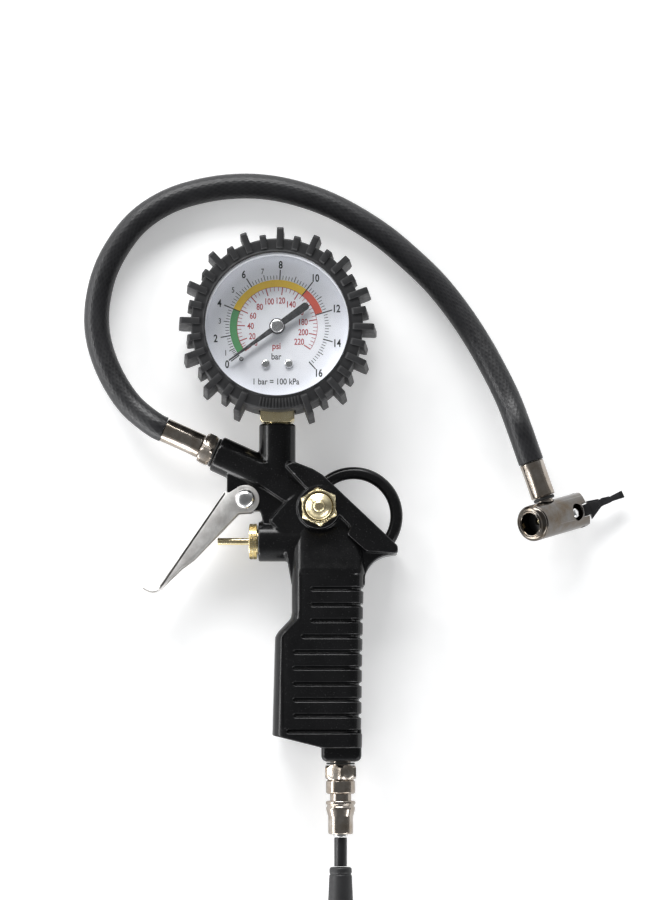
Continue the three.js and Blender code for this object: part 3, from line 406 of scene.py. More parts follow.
def new_tree(name: str, inputs: Sequence[tuple[str, str]]) -> bpy.types.NodeTree:
    """Make an empty geometry tree with a geometry input and output and named inputs."""
    tree = bpy.data.node_groups.new(name, "GeometryNodeTree")
    tree.interface.new_socket("Geometry", in_out="INPUT", socket_type="NodeSocketGeometry")
    for label, kind in inputs:
        tree.interface.new_socket(label, in_out="INPUT", socket_type=kind)
    tree.interface.new_socket("Geometry", in_out="OUTPUT", socket_type="NodeSocketGeometry")
    return tree


def wired(tree: bpy.types.NodeTree, links: Iterable[tuple]) -> None:
    """Link a tree's nodes.

    Args:
        tree: The tree.
        links: For each link a node, its output, the node that it feeds and the input there.
    """
    for source, output, target, entry in links:
        tree.links.new(source.outputs[output], target.inputs[entry])


def polar_tree() -> bpy.types.NodeTree:
    """Build the tree that copies its input geometry round local Z."""
    known = bpy.data.node_groups.get("Polar Copies")
    if known:
        return known
    tree = new_tree("Polar Copies", [
        ("Count", "NodeSocketInt"),
        ("Pitch", "NodeSocketFloat"),
        ("First", "NodeSocketFloat"),
        ("Finish", "NodeSocketMaterial"),
    ])
    nodes = tree.nodes
    given = nodes.new("NodeGroupInput")
    result = nodes.new("NodeGroupOutput")
    places = nodes.new("GeometryNodePoints")
    index = nodes.new("GeometryNodeInputIndex")
    angle = nodes.new("ShaderNodeMath")
    angle.operation = "MULTIPLY_ADD"
    spin = nodes.new("ShaderNodeCombineXYZ")
    copies = nodes.new("GeometryNodeInstanceOnPoints")
    real = nodes.new("GeometryNodeRealizeInstances")
    paint = nodes.new("GeometryNodeSetMaterial")
    wired(tree, [
        (given, "Count", places, "Count"),
        (index, 0, angle, 0),
        (given, "Pitch", angle, 1),
        (given, "First", angle, 2),
        (angle, 0, spin, "Z"),
        (places, 0, copies, "Points"),
        (given, "Geometry", copies, "Instance"),
        (spin, 0, copies, "Rotation"),
        (copies, 0, real, 0),
        (real, 0, paint, "Geometry"),
        (given, "Finish", paint, "Material"),
        (paint, 0, result, 0),
    ])
    return tree


def coil_tree() -> bpy.types.NodeTree:
    """Build the tree that winds a spring of round wire about local Z."""
    known = bpy.data.node_groups.get("Wound Spring")
    if known:
        return known
    tree = new_tree("Wound Spring", [
        ("Radius", "NodeSocketFloat"),
        ("Turns", "NodeSocketFloat"),
        ("Height", "NodeSocketFloat"),
        ("Wire", "NodeSocketFloat"),
        ("Finish", "NodeSocketMaterial"),
    ])
    nodes = tree.nodes
    given = nodes.new("NodeGroupInput")
    result = nodes.new("NodeGroupOutput")
    helix = nodes.new("GeometryNodeCurveSpiral")
    helix.inputs["Resolution"].default_value = 36
    section = nodes.new("GeometryNodeCurvePrimitiveCircle")
    section.inputs["Resolution"].default_value = 12
    wire = nodes.new("GeometryNodeCurveToMesh")
    wire.inputs["Fill Caps"].default_value = True
    real = nodes.new("GeometryNodeRealizeInstances")
    paint = nodes.new("GeometryNodeSetMaterial")
    wired(tree, [
        (given, "Turns", helix, "Rotations"),
        (given, "Radius", helix, "Start Radius"),
        (given, "Radius", helix, "End Radius"),
        (given, "Height", helix, "Height"),
        (given, "Wire", section, "Radius"),
        (helix, 0, wire, "Curve"),
        (section, 0, wire, "Profile Curve"),
        (wire, 0, real, 0),
        (real, 0, paint, "Geometry"),
        (given, "Finish", paint, "Material"),
        (paint, 0, result, 0),
    ])
    return tree


def with_tree(mesh: bpy.types.Mesh, tree: bpy.types.NodeTree, **inputs: object) -> bpy.types.Mesh:
    """Run a geometry tree on a mesh and return the plain result; the mesh is used up."""
    obj = bench(mesh)
    step = obj.modifiers.new("tree", "NODES")
    step.node_group = tree
    for name, value in inputs.items():
        step[socket_key(tree, name)] = value
    return baked(obj)


def polar(mesh: bpy.types.Mesh, count: int, pitch: float, first: float,
          finish: bpy.types.Material | None = None) -> bpy.types.Mesh:
    """Copy a mesh round local Z.

    Args:
        mesh: The mesh to copy, used up.
        count: How many copies are made.
        pitch: The angle between copies, in degrees.
        first: The angle of the first copy, in degrees.
        finish: The material that the copies take.

    Returns:
        All the copies as one mesh.
    """
    return with_tree(mesh, polar_tree(), Count=count, Pitch=pitch * DEG, First=first * DEG, Finish=finish)


def fused(name: str, meshes: Sequence[bpy.types.Mesh]) -> bpy.types.Mesh:
    """Put several meshes into one without joining their surfaces; the meshes are used up."""
    work = bmesh.new()
    for mesh in meshes:
        work.from_mesh(mesh)
        bpy.data.meshes.remove(mesh)
    whole = bpy.data.meshes.new(name)
    work.to_mesh(whole)
    work.free()
    return whole


# ---------------------------------------------------------------- finishes


@dataclass
class Recipe:
    """A material being built: its tree and its main shader."""

    name: str
    material: bpy.types.Material = field(init=False)

    def __post_init__(self) -> None:
        """Start the material with one shader and object coordinates."""
        self.material = bpy.data.materials.new(self.name)
        self.material.use_nodes = True
        self.tree = self.material.node_tree
        self.shader = self.tree.nodes["Principled BSDF"]
        self.place = self.tree.nodes.new("ShaderNodeTexCoord").outputs["Object"]
        self.height: bpy.types.NodeSocket | None = None

    def use(self, kind: str, **settings: object) -> bpy.types.Node:
        """Add a node; names that match an input set it, and the others set the node."""
        node = self.tree.nodes.new("ShaderNode" + kind)
        for key, value in settings.items():
            label = key.replace("_", " ")
            if label in node.inputs:
                node.inputs[label].default_value = value
            else:
                setattr(node, key.lower(), value)
        return node

    def join(self, start: bpy.types.NodeSocket, end: bpy.types.NodeSocket) -> None:
        """Link two sockets."""
        self.tree.links.new(start, end)

    def stretched(self, along: Triple, where: bpy.types.NodeSocket | None = None) -> bpy.types.NodeSocket:
        """Object coordinates scaled by a different amount along each axis."""
        mapping = self.use("Mapping")
        mapping.inputs["Scale"].default_value = along
        self.join(where or self.place, mapping.inputs["Vector"])
        return mapping.outputs["Vector"]

    def noise(self, size_mm: float, detail: float = 4.0, stretch: Triple = (1.0, 1.0, 1.0),
              rough: float = 0.55) -> bpy.types.NodeSocket:
        """Noise with features of about one size, stretched along the axes."""
        node = self.use("TexNoise", Scale=1.0 / (size_mm * MM), Detail=detail, Roughness=rough)
        self.join(self.stretched(stretch), node.inputs["Vector"])
        return node.outputs["Fac"]

    def ranged(self, value: bpy.types.NodeSocket, low: float, high: float,
               start: float = 0.3, end: float = 0.7) -> bpy.types.NodeSocket:
        """Spread the middle of a value over a new range."""
        node = self.use("MapRange")
        for key, number in zip((1, 2, 3, 4), (start, end, low, high)):
            node.inputs[key].default_value = number
        self.join(value, node.inputs[0])
        return node.outputs[0]

    def blended(self, factor: bpy.types.NodeSocket, first: Tint | bpy.types.NodeSocket,
                second: Tint) -> bpy.types.NodeSocket:
        """Mix two colours by a factor; the first may come from another node."""
        node = self.tree.nodes.new("ShaderNodeMix")
        node.data_type = "RGBA"
        self.join(factor, node.inputs[0])
        if isinstance(first, tuple):
            node.inputs[6].default_value = (*first, 1)
        else:
            self.join(first, node.inputs[6])
        node.inputs[7].default_value = (*second, 1)
        return node.outputs[2]

    def maths(self, operation: str, *values: float | bpy.types.NodeSocket) -> bpy.types.NodeSocket:
        """Work out one value from numbers and from other nodes' values."""
        node = self.use("Math", operation=operation)
        for value, entry in zip(values, node.inputs):
            if isinstance(value, float):
                entry.default_value = value
            else:
                self.join(value, entry)
        return node.outputs[0]

    def worn_edges(self, start: float, end: float, share: float) -> bpy.types.NodeSocket:
        """A mask that is high on sharp outside edges, broken up by grime."""
        edge = self.ranged(self.use("NewGeometry").outputs["Pointiness"], 0.0, share, start, end)
        return self.maths("MULTIPLY", edge, self.ranged(self.noise(2.4, 5.0), 0.2, 1.0, 0.42, 0.6))

    def colour(self, value: bpy.types.NodeSocket) -> None:
        """Feed the base colour."""
        self.join(value, self.shader.inputs["Base Color"])

    def roughness(self, value: bpy.types.NodeSocket) -> None:
        """Feed the roughness."""
        self.join(value, self.shader.inputs["Roughness"])

    def bump(self, value: bpy.types.NodeSocket, strength: float, depth_mm: float) -> None:
        """Add one layer of relief over the layers that are already there."""
        node = self.use("Bump", Strength=strength, Distance=depth_mm * MM)
        self.join(value, node.inputs["Height"])
        if self.height is not None:
            self.join(self.height, node.inputs["Normal"])
        self.height = node.outputs["Normal"]
        self.join(self.height, self.shader.inputs["Normal"])

    def plain(self, **values: float | tuple[float, ...]) -> None:
        """Set the shader's own sockets."""
        for key, value in values.items():
            self.shader.inputs[key.replace("_", " ")].default_value = value


@dataclass(frozen=True)
class PowderCoat:
    """Gloss powder paint over a casting: fine orange peel, dust specks and paler edges that are partly
    rubbed wear and partly a painted highlight along the ridges.
    """

    name: str
    tint: Tint = (0.0042, 0.0042, 0.0045)
    peel_mm: float = 0.9
    gloss: Pair = (0.14, 0.25)

    def material(self) -> bpy.types.Material:
        """Build the paint."""
        r = Recipe(self.name)
        haze = r.noise(9.0, 3.0)
        base = r.blended(r.ranged(haze, 0.0, 1.0), self.tint, tuple(c * 1.7 for c in self.tint))
        dusty = r.ranged(r.noise(0.5, 2.0), 0.0, 0.3, 0.66, 0.72)
        base = r.blended(dusty, base, (0.1, 0.1, 0.1))
        # Paler sharp edges: partly rubbed wear, partly a painted highlight where light would catch the cast
        # ridges.
        base = r.blended(r.worn_edges(0.53, 0.6, 0.8), base, (0.22, 0.22, 0.225))
        r.colour(base)
        r.roughness(r.ranged(r.noise(3.0, 6.0), *self.gloss))
        r.bump(r.noise(self.peel_mm, 2.0), 0.22, 0.05)
        r.bump(r.noise(0.22, 2.0), 0.12, 0.02)
        r.plain(Specular_IOR_Level=0.26)
        return r.material


@dataclass(frozen=True)
class Metal:
    """Bare or plated metal: drifting tone, patches of haze, fine scratches."""

    name: str
    tint: Tint
    shade: Tint
    gloss: Pair
    grain: Triple = (1.0, 1.0, 1.0)
    grain_mm: float = 0.35
    relief: float = 0.08
    pitting: float = 0.0

    def material(self) -> bpy.types.Material:
        """Build the metal."""
        r = Recipe(self.name)
        tone = r.blended(r.ranged(r.noise(5.0, 5.0), 0.0, 1.0), self.tint, self.shade)
        scuff = r.ranged(r.noise(0.7, 6.0, self.grain, 0.7), 0.0, 0.5, 0.52, 0.72)
        r.colour(r.blended(scuff, tone, tuple(c * 0.72 for c in self.shade)))
        r.roughness(r.ranged(r.noise(1.6, 6.0, self.grain, 0.65), *self.gloss))
        r.bump(r.noise(self.grain_mm, 3.0, self.grain), self.relief, 0.03)
        if self.pitting:
            r.bump(r.ranged(r.noise(0.45, 3.0), 0.0, 1.0, 0.55, 0.75), self.pitting, 0.05)
        r.plain(Metallic=1.0)
        return r.material


@dataclass(frozen=True)
class Rubber:
    """Moulded rubber or plastic: matte grain, pale dust specks and paler rubbed edges."""

    name: str
    tint: Tint
    rubbed: Tint
    gloss: Pair
    grain_mm: float = 0.3
    relief: float = 0.3

    def material(self) -> bpy.types.Material:
        """Build the rubber."""
        r = Recipe(self.name)
        bloom = r.ranged(r.noise(7.0, 5.0), 0.0, 1.0)
        base = r.blended(bloom, self.tint, tuple(c * 1.35 for c in self.tint))
        base = r.blended(r.worn_edges(0.53, 0.62, 0.6), base, self.rubbed)
        base = r.blended(r.ranged(r.noise(0.35, 3.0), 0.0, 0.25, 0.62, 0.74), base, self.rubbed)
        r.colour(base)
        r.roughness(r.ranged(r.noise(2.0, 5.0), *self.gloss))
        r.bump(r.noise(self.grain_mm, 4.0), self.relief, 0.06)
        r.bump(r.noise(3.5, 3.0), 0.12, 0.15)
        return r.material


@dataclass(frozen=True)
class BraidedHose:
    """Black rubber hose that shows the braid under its skin; its map runs round and along it."""

    name: str
    tint: Tint = (0.005, 0.005, 0.006)
    strands: int = 20
    pitch_mm: float = 3.3

    def material(self) -> bpy.types.Material:
        """Build the hose skin."""
        r = Recipe(self.name)
        skin = r.use("UVMap")
        skin.uv_map = "Skin"
        parts = r.use("SeparateXYZ")
        r.join(skin.outputs[0], parts.inputs[0])
        around = r.maths("MULTIPLY", parts.outputs[0], 2 * math.pi * self.strands)
        along = 2 * math.pi / (self.pitch_mm * MM)
        slants = [r.maths("MULTIPLY_ADD", parts.outputs[1], way * along, around) for way in (1.0, -1.0)]
        weave = r.maths("MAXIMUM", *(r.maths("SINE", slant) for slant in slants))
        base = r.blended(r.ranged(r.noise(12.0, 4.0), 0.0, 1.0), self.tint, (0.012, 0.012, 0.0135))
        base = r.blended(r.ranged(weave, 0.0, 0.4, 0.2, 1.0), base, (0.022, 0.022, 0.024))
        base = r.blended(r.ranged(r.noise(0.4, 3.0), 0.0, 0.3, 0.64, 0.76), base, (0.08, 0.08, 0.085))
        r.colour(base)
        r.roughness(r.ranged(r.noise(2.5, 6.0), 0.33, 0.5))
        r.bump(weave, 0.35, 0.07)
        r.bump(r.noise(0.35, 4.0), 0.25, 0.05)
        r.plain(Specular_IOR_Level=0.45)
        return r.material


@dataclass(frozen=True)
class Enamel:
    """Printed or stoved paint on a flat plate: faint unevenness in tone and gloss."""

    name: str
    tint: Tint
    gloss: Pair = (0.42, 0.55)

    def material(self) -> bpy.types.Material:
        """Build the paint."""
        r = Recipe(self.name)
        drift = r.ranged(r.noise(6.0, 4.0), 0.0, 1.0)
        r.colour(r.blended(drift, self.tint, tuple(c * 0.94 for c in self.tint)))
        r.roughness(r.ranged(r.noise(1.2, 4.0), *self.gloss))
        r.bump(r.noise(0.25, 2.0), 0.05, 0.02)
        return r.material


@dataclass(frozen=True)
class Window:
    """A clear lens with faint smears."""

    name: str

    def material(self) -> bpy.types.Material:
        """Build the clear sheet."""
        r = Recipe(self.name)
        r.colour(r.blended(r.ranged(r.noise(8.0, 3.0), 0.0, 1.0), (0.97, 0.98, 1.0), (0.9, 0.93, 0.97)))
        r.roughness(r.ranged(r.noise(4.0, 5.0), 0.02, 0.09))
        r.plain(Alpha=0.02, Specular_IOR_Level=0.15)
        r.material.surface_render_method = "BLENDED"
        return r.material


class Look(Enum):
    """The finishes of the inflator, each with the record's slot that it belongs to."""

    CASTING = ("casting_black", PowderCoat("casting_paint"))
    RING = ("ring_black", PowderCoat("ring_paint", gloss=(0.16, 0.26), peel_mm=1.6))
    CASE = ("case_steel", PowderCoat("case_paint", tint=(0.02, 0.02, 0.021)))
    TRIGGER = ("trigger_steel", Metal("trigger_sheet", (0.84, 0.83, 0.81), (0.6, 0.58, 0.56), (0.42, 0.56),
                                      (3.4, 0.5, 1.0), 0.3, 0.2, 0.12))
    RIVET = ("rivet_steel", Metal("rivet_polish", (0.8, 0.8, 0.8), (0.6, 0.6, 0.6), (0.12, 0.26),
                                  pitting=0.15))
    BRASS = ("brass", Metal("brass_turned", (0.86, 0.76, 0.5), (0.72, 0.6, 0.35), (0.16, 0.32),
                            pitting=0.12))
    # Nickel plating set darker and warmer than bare plate: its own tone plus a painted dark, warm-brown
    # reflection.
    NICKEL = ("nickel", Metal("nickel_plate_painted_reflection", (0.46, 0.42, 0.38), (0.3, 0.25, 0.2), (0.12, 0.24),
                              pitting=0.06))
    # A darker copy of the nickel for the chuck's barrel and mouth: the plating painted dark as a reflection,
    # and its warm brown patches are painted reflection too.
    BARREL = ("nickel", Metal("barrel_plate_painted_reflection", (0.15, 0.145, 0.14), (0.11, 0.085, 0.06), (0.1, 0.2),
                              pitting=0.06))
    SPRING = ("spring_steel", Metal("spring_wire", (0.5, 0.5, 0.52), (0.34, 0.34, 0.36), (0.3, 0.45)))
    SEAL = ("seal_black", Rubber("seal_rubber", (0.012, 0.012, 0.012), (0.05, 0.05, 0.05), (0.5, 0.7)))
    NECK = ("neck_black", Rubber("neck_skin", (0.009, 0.009, 0.01), (0.03, 0.03, 0.03), (0.3, 0.42)))
    BOOT = ("boot_rubber", Rubber("boot_rubber_skin", (0.0105, 0.0105, 0.0115), (0.05, 0.049, 0.05),
                                  (0.46, 0.64)))
    HOSE = ("hose_rubber", BraidedHose("hose_skin"))
    LEVER = ("lever_black", Rubber("lever_plastic", (0.005, 0.005, 0.0055), (0.03, 0.03, 0.033), (0.35, 0.5),
                                   0.25, 0.35))
    GLASS = ("lens_glass", Window("lens_clear"))
    DIAL = ("dial_white", Enamel("dial_enamel", (0.93, 0.945, 0.99)))
    INK_BLACK = ("dial_white", Enamel("ink_black", (0.008, 0.008, 0.01)))
    INK_GREY = ("dial_white", Enamel("ink_grey", (0.04, 0.04, 0.045)))
    INK_RED = ("dial_white", Enamel("ink_red", (0.42, 0.03, 0.04)))
    BAND_GREEN = ("dial_white", Enamel("band_green", (0.085, 0.34, 0.12)))
    BAND_YELLOW = ("dial_white", Enamel("band_yellow", (0.95, 0.62, 0.02)))
    BAND_RED = ("dial_white", Enamel("band_red", (0.78, 0.11, 0.06)))
    NEEDLE = ("needle_black", PowderCoat("needle_paint", tint=(0.005, 0.005, 0.006), gloss=(0.34, 0.46)))

    @property
    def slot(self) -> str:
        """The record's material slot."""
        return self.value[0]

    def paint(self) -> bpy.types.Material:
        """The Blender material, built on first use."""
        known = bpy.data.materials.get(self.value[1].name)
        return known or self.value[1].material()


def finish_piece(name: str, meshes: Sequence[bpy.types.Mesh], look: Look, body: str,
                 stands_for: Sequence[str] = (), crease: float = 32.0) -> bpy.types.Object:
    """Turn finished meshes into one piece of the inflator.

    Args:
        name: The piece's name.
        meshes: Its meshes in millimetres, used up.
        look: Its finish.
        body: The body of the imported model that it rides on.
        stands_for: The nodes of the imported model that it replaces.
        crease: Edges sharper than this, in degrees, stay sharp.

    Returns:
        The piece, with its place in its mesh.
    """
    mesh = fused(name, meshes)
    mesh.transform(Matrix.Scale(MM, 4))
    mesh.materials.clear()
    mesh.materials.append(look.paint())
    mesh.polygons.foreach_set("material_index", [0] * len(mesh.polygons))
    mesh.shade_smooth()
    mesh.set_sharp_from_angle(angle=crease * DEG)
    piece = bpy.data.objects.new(name, mesh)
    bpy.context.scene.collection.objects.link(piece)
    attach(piece, body)
    if stands_for:
        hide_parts(*stands_for)
    log.info("%s: %d faces on %s", name, len(mesh.polygons), body)
    return piece


def solid_piece(name: str, shells: Iterable[Shell], look: Look, node: str, home: Matrix | None = None,
                body: str = "gun", crease: float = 32.0) -> None:
    """Make a piece straight from shells.

    Args:
        name: The piece's name.
        shells: Its shells, in the frame that it is made in.
        look: Its finish.
        node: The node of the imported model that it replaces.
        home: The frame that it is made in.
        body: The body that it rides on.
        crease: Edges sharper than this, in degrees, stay sharp.
    """
    placed = [shell.placed(home) for shell in shells] if home else shells
    finish_piece(name, [mesh_of(name, placed)], look, body, [node], crease)


def box_mm(node: str) -> tuple[Vector, Vector]:
    """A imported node's lowest and highest corners, in millimetres."""
    low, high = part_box(node)
    return low / MM, high / MM


def lofted(rings: Sequence[Sequence[Triple]]) -> Shell:
    """A closed skin over rings that have the same number of points."""
    count = len(rings[0])
    points = [Vector(point) for loop in rings for point in loop]
    faces: list[tuple[int, ...]] = []
    for row in range(len(rings) - 1):
        for i in range(count):
            a, b = row * count + i, row * count + (i + 1) % count
            faces.append((a, b, b + count, a + count))
    last = (len(rings) - 1) * count
    faces.append(tuple(reversed(range(count))))
    faces.append(tuple(range(last, last + count)))
    return Shell(points, faces)


# ---------------------------------------------------------------- the gun


@dataclass
class Casting:
    """The die-cast body: grip, head, barrel, bosses and web."""

    mid: float
    grip_half: float
    grip_corner: float = 6.5
    foot_y: float = -45.3
    core_half: float = 6.8
    neck_half: float = 7.6
    band_half: float = 10.8
    web_half: float = 4.5
    foot_half: float = 8.2
    barrel: Triple = (-42.4, 80.6, 7.5)
    barrel_slope: float = 24.5
    gauge_boss: Triple = (-17.5, 92.6, 7.5)
    valve_boss: Triple = (-25.3, 44.4, 8.2)
    bleed_boss: Triple = (-0.4, 57.7, 8.8)
    gland_recess: float = 1.3
    pivot: Triple = (-30.5, 61.4, 2.1)
    inlet_x: float = 8.4
    hose_bore: float = 4.9
    gauge_bore: float = 5.2
    valve_bore: float = 5.5
    valve_depth: float = 28.4
    gland_seat: float = 7.2
    bleed_bore: float = 5.3
    inlet_bore: float = 4.5
    groove_pitch: float = 6.4
    groove_top: float = 24.5
    groove_width: float = 1.5
    groove_depth: float = 1.1
    recess: float = 0.45
    slope: tuple[Pair, Pair] = ((1.1, 71.1), (31.7, 42.1))

    @property
    def barrel_out(self) -> Vector:
        """The direction that the hose leaves in."""
        return Vector((-math.cos(self.barrel_slope * DEG), math.sin(self.barrel_slope * DEG), 0))

    def grip_ring(self, y: float, front: float, back: float, taper: float, inset: float) -> list[Triple]:
        """A round-cornered section of the grip at one height, thinned by a taper."""
        half = self.grip_half - taper - inset
        corner = self.grip_corner - inset / 2
        x0, x1 = front + inset + corner, back - inset - corner
        top, low = half - corner, corner - half
        flat: list[Pair] = []
        for x, z, start in ((x1, top, 0), (x0, top, 90), (x0, low, 180), (x1, low, 270)):
            flat += arc(x, z, corner, start, start + 90, 8)
        return [(x, y, self.mid + z) for x, z in flat]

    def grip(self, inset: float = 0.0) -> bpy.types.Mesh:
        """The hand-filling block from its foot to the head, thinning into the neck."""
        full = self.grip_half - self.neck_half + 0.3
        stations = [
            (-40.2, -19.4, 17.1, 0), (-34.6, -19.3, 17.2, 0), (4.9, -18.3, 17.8, 0), (6.2, -17.7, 17.85, 0),
            (7.6, -16.8, 17.9, 0), (12.2, -12.4, 18.0, 0), (13.3, -11.8, 18.0, 0), (15, -11.5, 18.0, 0),
            (30, -11.5, 18.4, 0), (32.5, -11.5, 18.4, full * 0.05), (35, -11.5, 18.4, full * 0.2),
            (51, -11.5, 18.4, full),
        ]
        rings = [self.grip_ring(y, front, back, taper, inset) for y, front, back, taper in stations]
        return mesh_of("grip", [lofted(rings)])

    def grooves(self) -> bpy.types.Mesh:
        """The pointed slots that run from the side panel round the back of the grip."""
        starts = [-4.6, -4.6, -4.6, -8.4, -11.6, -11.6, -11.6, -11.6, -11.6, -14.2]
        half = self.groove_width / 2
        slots = []
        for i, x in enumerate(starts):
            y = self.groove_top - i * self.groove_pitch
            outline = [(x, y), (x + 1.5, y + half), (40, y + half), (40, y - half), (x + 1.5, y - half)]
            slots.append(slab(outline, -5, 2 * self.mid + 5))
        return worked(mesh_of("slots", slots), Joint.CUT, [self.grip(self.groove_depth + self.recess)])

    def panel(self) -> bpy.types.Mesh:
        """The shallow recess that frames the grooves on both sides and round the back."""
        left, step = -15.2, -8.0
        low = self.groove_top - 9 * self.groove_pitch + self.groove_width / 2
        outline = [
            (40, 30.8), (step, 30.8), (step, 12.2), (left, 5.0), *arc(left + 2, low + 2, 2, 180, 270, 5),
            (40, low),
        ]
        return worked(mesh_of("panel", [slab(outline, -5, 2 * self.mid + 5)]), Joint.CUT,
                      [self.grip(self.recess)])

    def plate(self, outline: Sequence[Pair], half: float, bevel: float) -> bpy.types.Mesh:
        """A flat layer of the head, the same thickness on both sides of the middle."""
        return eased(mesh_of("plate", [slab(outline, self.mid - half, self.mid + half)]), bevel, 3, 40)

    def head(self) -> list[bpy.types.Mesh]:
        """The head's layers, from the web out to the raised band."""
        top, end = self.slope
        corner = arc(29.6, 27.0, 11.6, 165, 97, 10)
        layers = [
            ([(18.4, 26), *corner, (31.7, 39), end, top, (-2.8, 73.5), (-10.8, 76.6), (-26, 76.6),
              (-26, 68), (-14, 60), (-14, 40), (-11.5, 26)], self.core_half, 0.8),
            ([(18.4, 26), *corner, (28.2, 42.4), (15, 50), (7.4, 55.9), (-5.9, 67), (-13.5, 60.7),
              (-20.5, 52.5), (-14, 46), (-14, 40), (-11.5, 26)], self.neck_half, 0.8),
            ([end, top, (-2.8, 73.5), (-10.8, 76.6), (-14.1, 75), (-5.9, 66), (7.4, 55.1), (12.5, 49.9),
              (10.9, 46.8), (18.8, 39.8), (31.7, 39)], self.band_half, 0.7),
            ([(-38.1, 73), (-38.1, 64.4), (-35.8, 59.6), (-29, 56.7), (-24.4, 56.7), (-23.2, 51.6),
              (-8, 49), (-8, 66)], self.web_half, 0.6),
        ]
        return [self.plate(outline, half, bevel) for outline, half, bevel in layers]

    def bosses(self) -> list[Shell]:
        """The barrel, the two bosses in line with the side view and the deflate boss."""
        x, y, radius = self.barrel
        gx, gy, gr = self.gauge_boss
        vx, vy, vr = self.valve_boss
        bx, by, br = self.bleed_boss
        top = self.mid + self.band_half + 0.4
        return [
            bar(radius, 0, 44, 0.9).placed(aim((x, y, self.mid), -self.barrel_out)),
            bar(gr, 0, gy - 68, 0.9).placed(aim((gx, 68, self.mid), (0, 1, 0))),
            bar(vr, 0, 24, 0.7).placed(aim((vx, vy, self.mid), (1, 0, 0))),
            bar(br, self.mid, top, 0.4).shifted(bx, by),
        ]

    def bores(self) -> list[Shell]:
        """What is drilled for the hose, the gauge, the valves, the inlet and the rivet."""
        x, y, _ = self.barrel
        gx, gy, _ = self.gauge_boss
        vx, vy, _ = self.valve_boss
        bx, by, _ = self.bleed_boss
        px, py, pr = self.pivot
        valve = aim((vx, vy, self.mid), (1, 0, 0))
        return [
            bar(self.hose_bore, -1, 11, 0.3).placed(aim((x, y, self.mid), -self.barrel_out)),
            bar(self.gauge_bore, 0, 20, 0.3).placed(aim((gx, gy - 12, self.mid), (0, 1, 0))),
            bar(self.valve_bore, -1, self.valve_depth, 0.3).placed(valve),
            bar(self.gland_seat, -10, self.gland_recess, 0.2).placed(valve),
            bar(self.bleed_bore, self.mid - 3.8, 40, 0.3).shifted(bx, by),
            bar(self.inlet_bore, -1, 9, 0.3).placed(aim((self.inlet_x, self.foot_y, self.mid), (0, 1, 0))),
            bar(pr, -10, 40, 0.1).shifted(px, py),
        ]

    def build(self) -> None:
        """Make the casting in two moulded skins: the grooved grip, and the head with the foot."""
        chin = slab([(-40, -29.5), (0.5, -39.6), (0.5, -60), (-40, -60)], -20, 2 * self.mid + 20)
        below = block(-40, 40, -60, -39.8, -20, 60)
        grip = worked(self.grip(), Joint.CUT, [self.panel(), self.grooves()])
        grip = drilled(grip, [chin, below, *self.bores()])
        skin = moulded(grip, 0.42, 1)
        finish_piece("casting_grip", [skin], Look.CASTING, "gun", ["body_casting"], 60)
        foot = block(0.5, 16.9, self.foot_y, -30, self.mid - self.foot_half, self.mid + self.foot_half)
        solids = [eased(mesh_of("foot", [foot]), 2.4, 4), *self.head()]
        solids += [mesh_of("boss", [boss]) for boss in self.bosses()]
        sockets = Hanger(self.mid, self.slope).shells(0.3, 3.3)
        cut = [drilled(solid, [*sockets, *self.bores()]) for solid in solids]
        skin = moulded(fused("head", cut), 0.48, 2)
        finish_piece("casting_head", [skin], Look.CASTING, "gun", ["body_casting"], 60)


@dataclass
class Hanger:
    """The round hanging ring, its two ends set in the back slope."""

    mid: float
    slope: tuple[Pair, Pair]
    centre: Pair = (13.7, 54.9)
    radius: float = 17.6
    bar: float = 2.55
    sunk: float = 3.0

    def shells(self, extra: float, depth: float) -> list[Shell]:
        """The ring from one sunk end to the other, thickened by an allowance."""
        (x0, y0), (x1, y1) = self.slope
        normal = Vector((y0 - y1, x1 - x0)).normalized()
        steps = [self.centre_point(t) for t in range(-180, 181)]
        kept = [p for p in steps if (Vector(p[:2]) - Vector((x0, y0))).dot(normal) > -depth]
        section = arc(0, 0, self.bar + extra, 0, 360, 32)[:-1]
        return [swept([Vector(p) for p in kept], section)]

    def centre_point(self, degrees: float) -> Triple:
        """A point of the ring's middle line."""
        x, y = arc(*self.centre, self.radius, degrees, degrees, 1)[0]
        return (x, y, self.mid)

    def build(self) -> None:
        """Make the ring."""
        solid_piece("hanging_ring", self.shells(0.0, self.sunk), Look.RING, "hanger_ring")


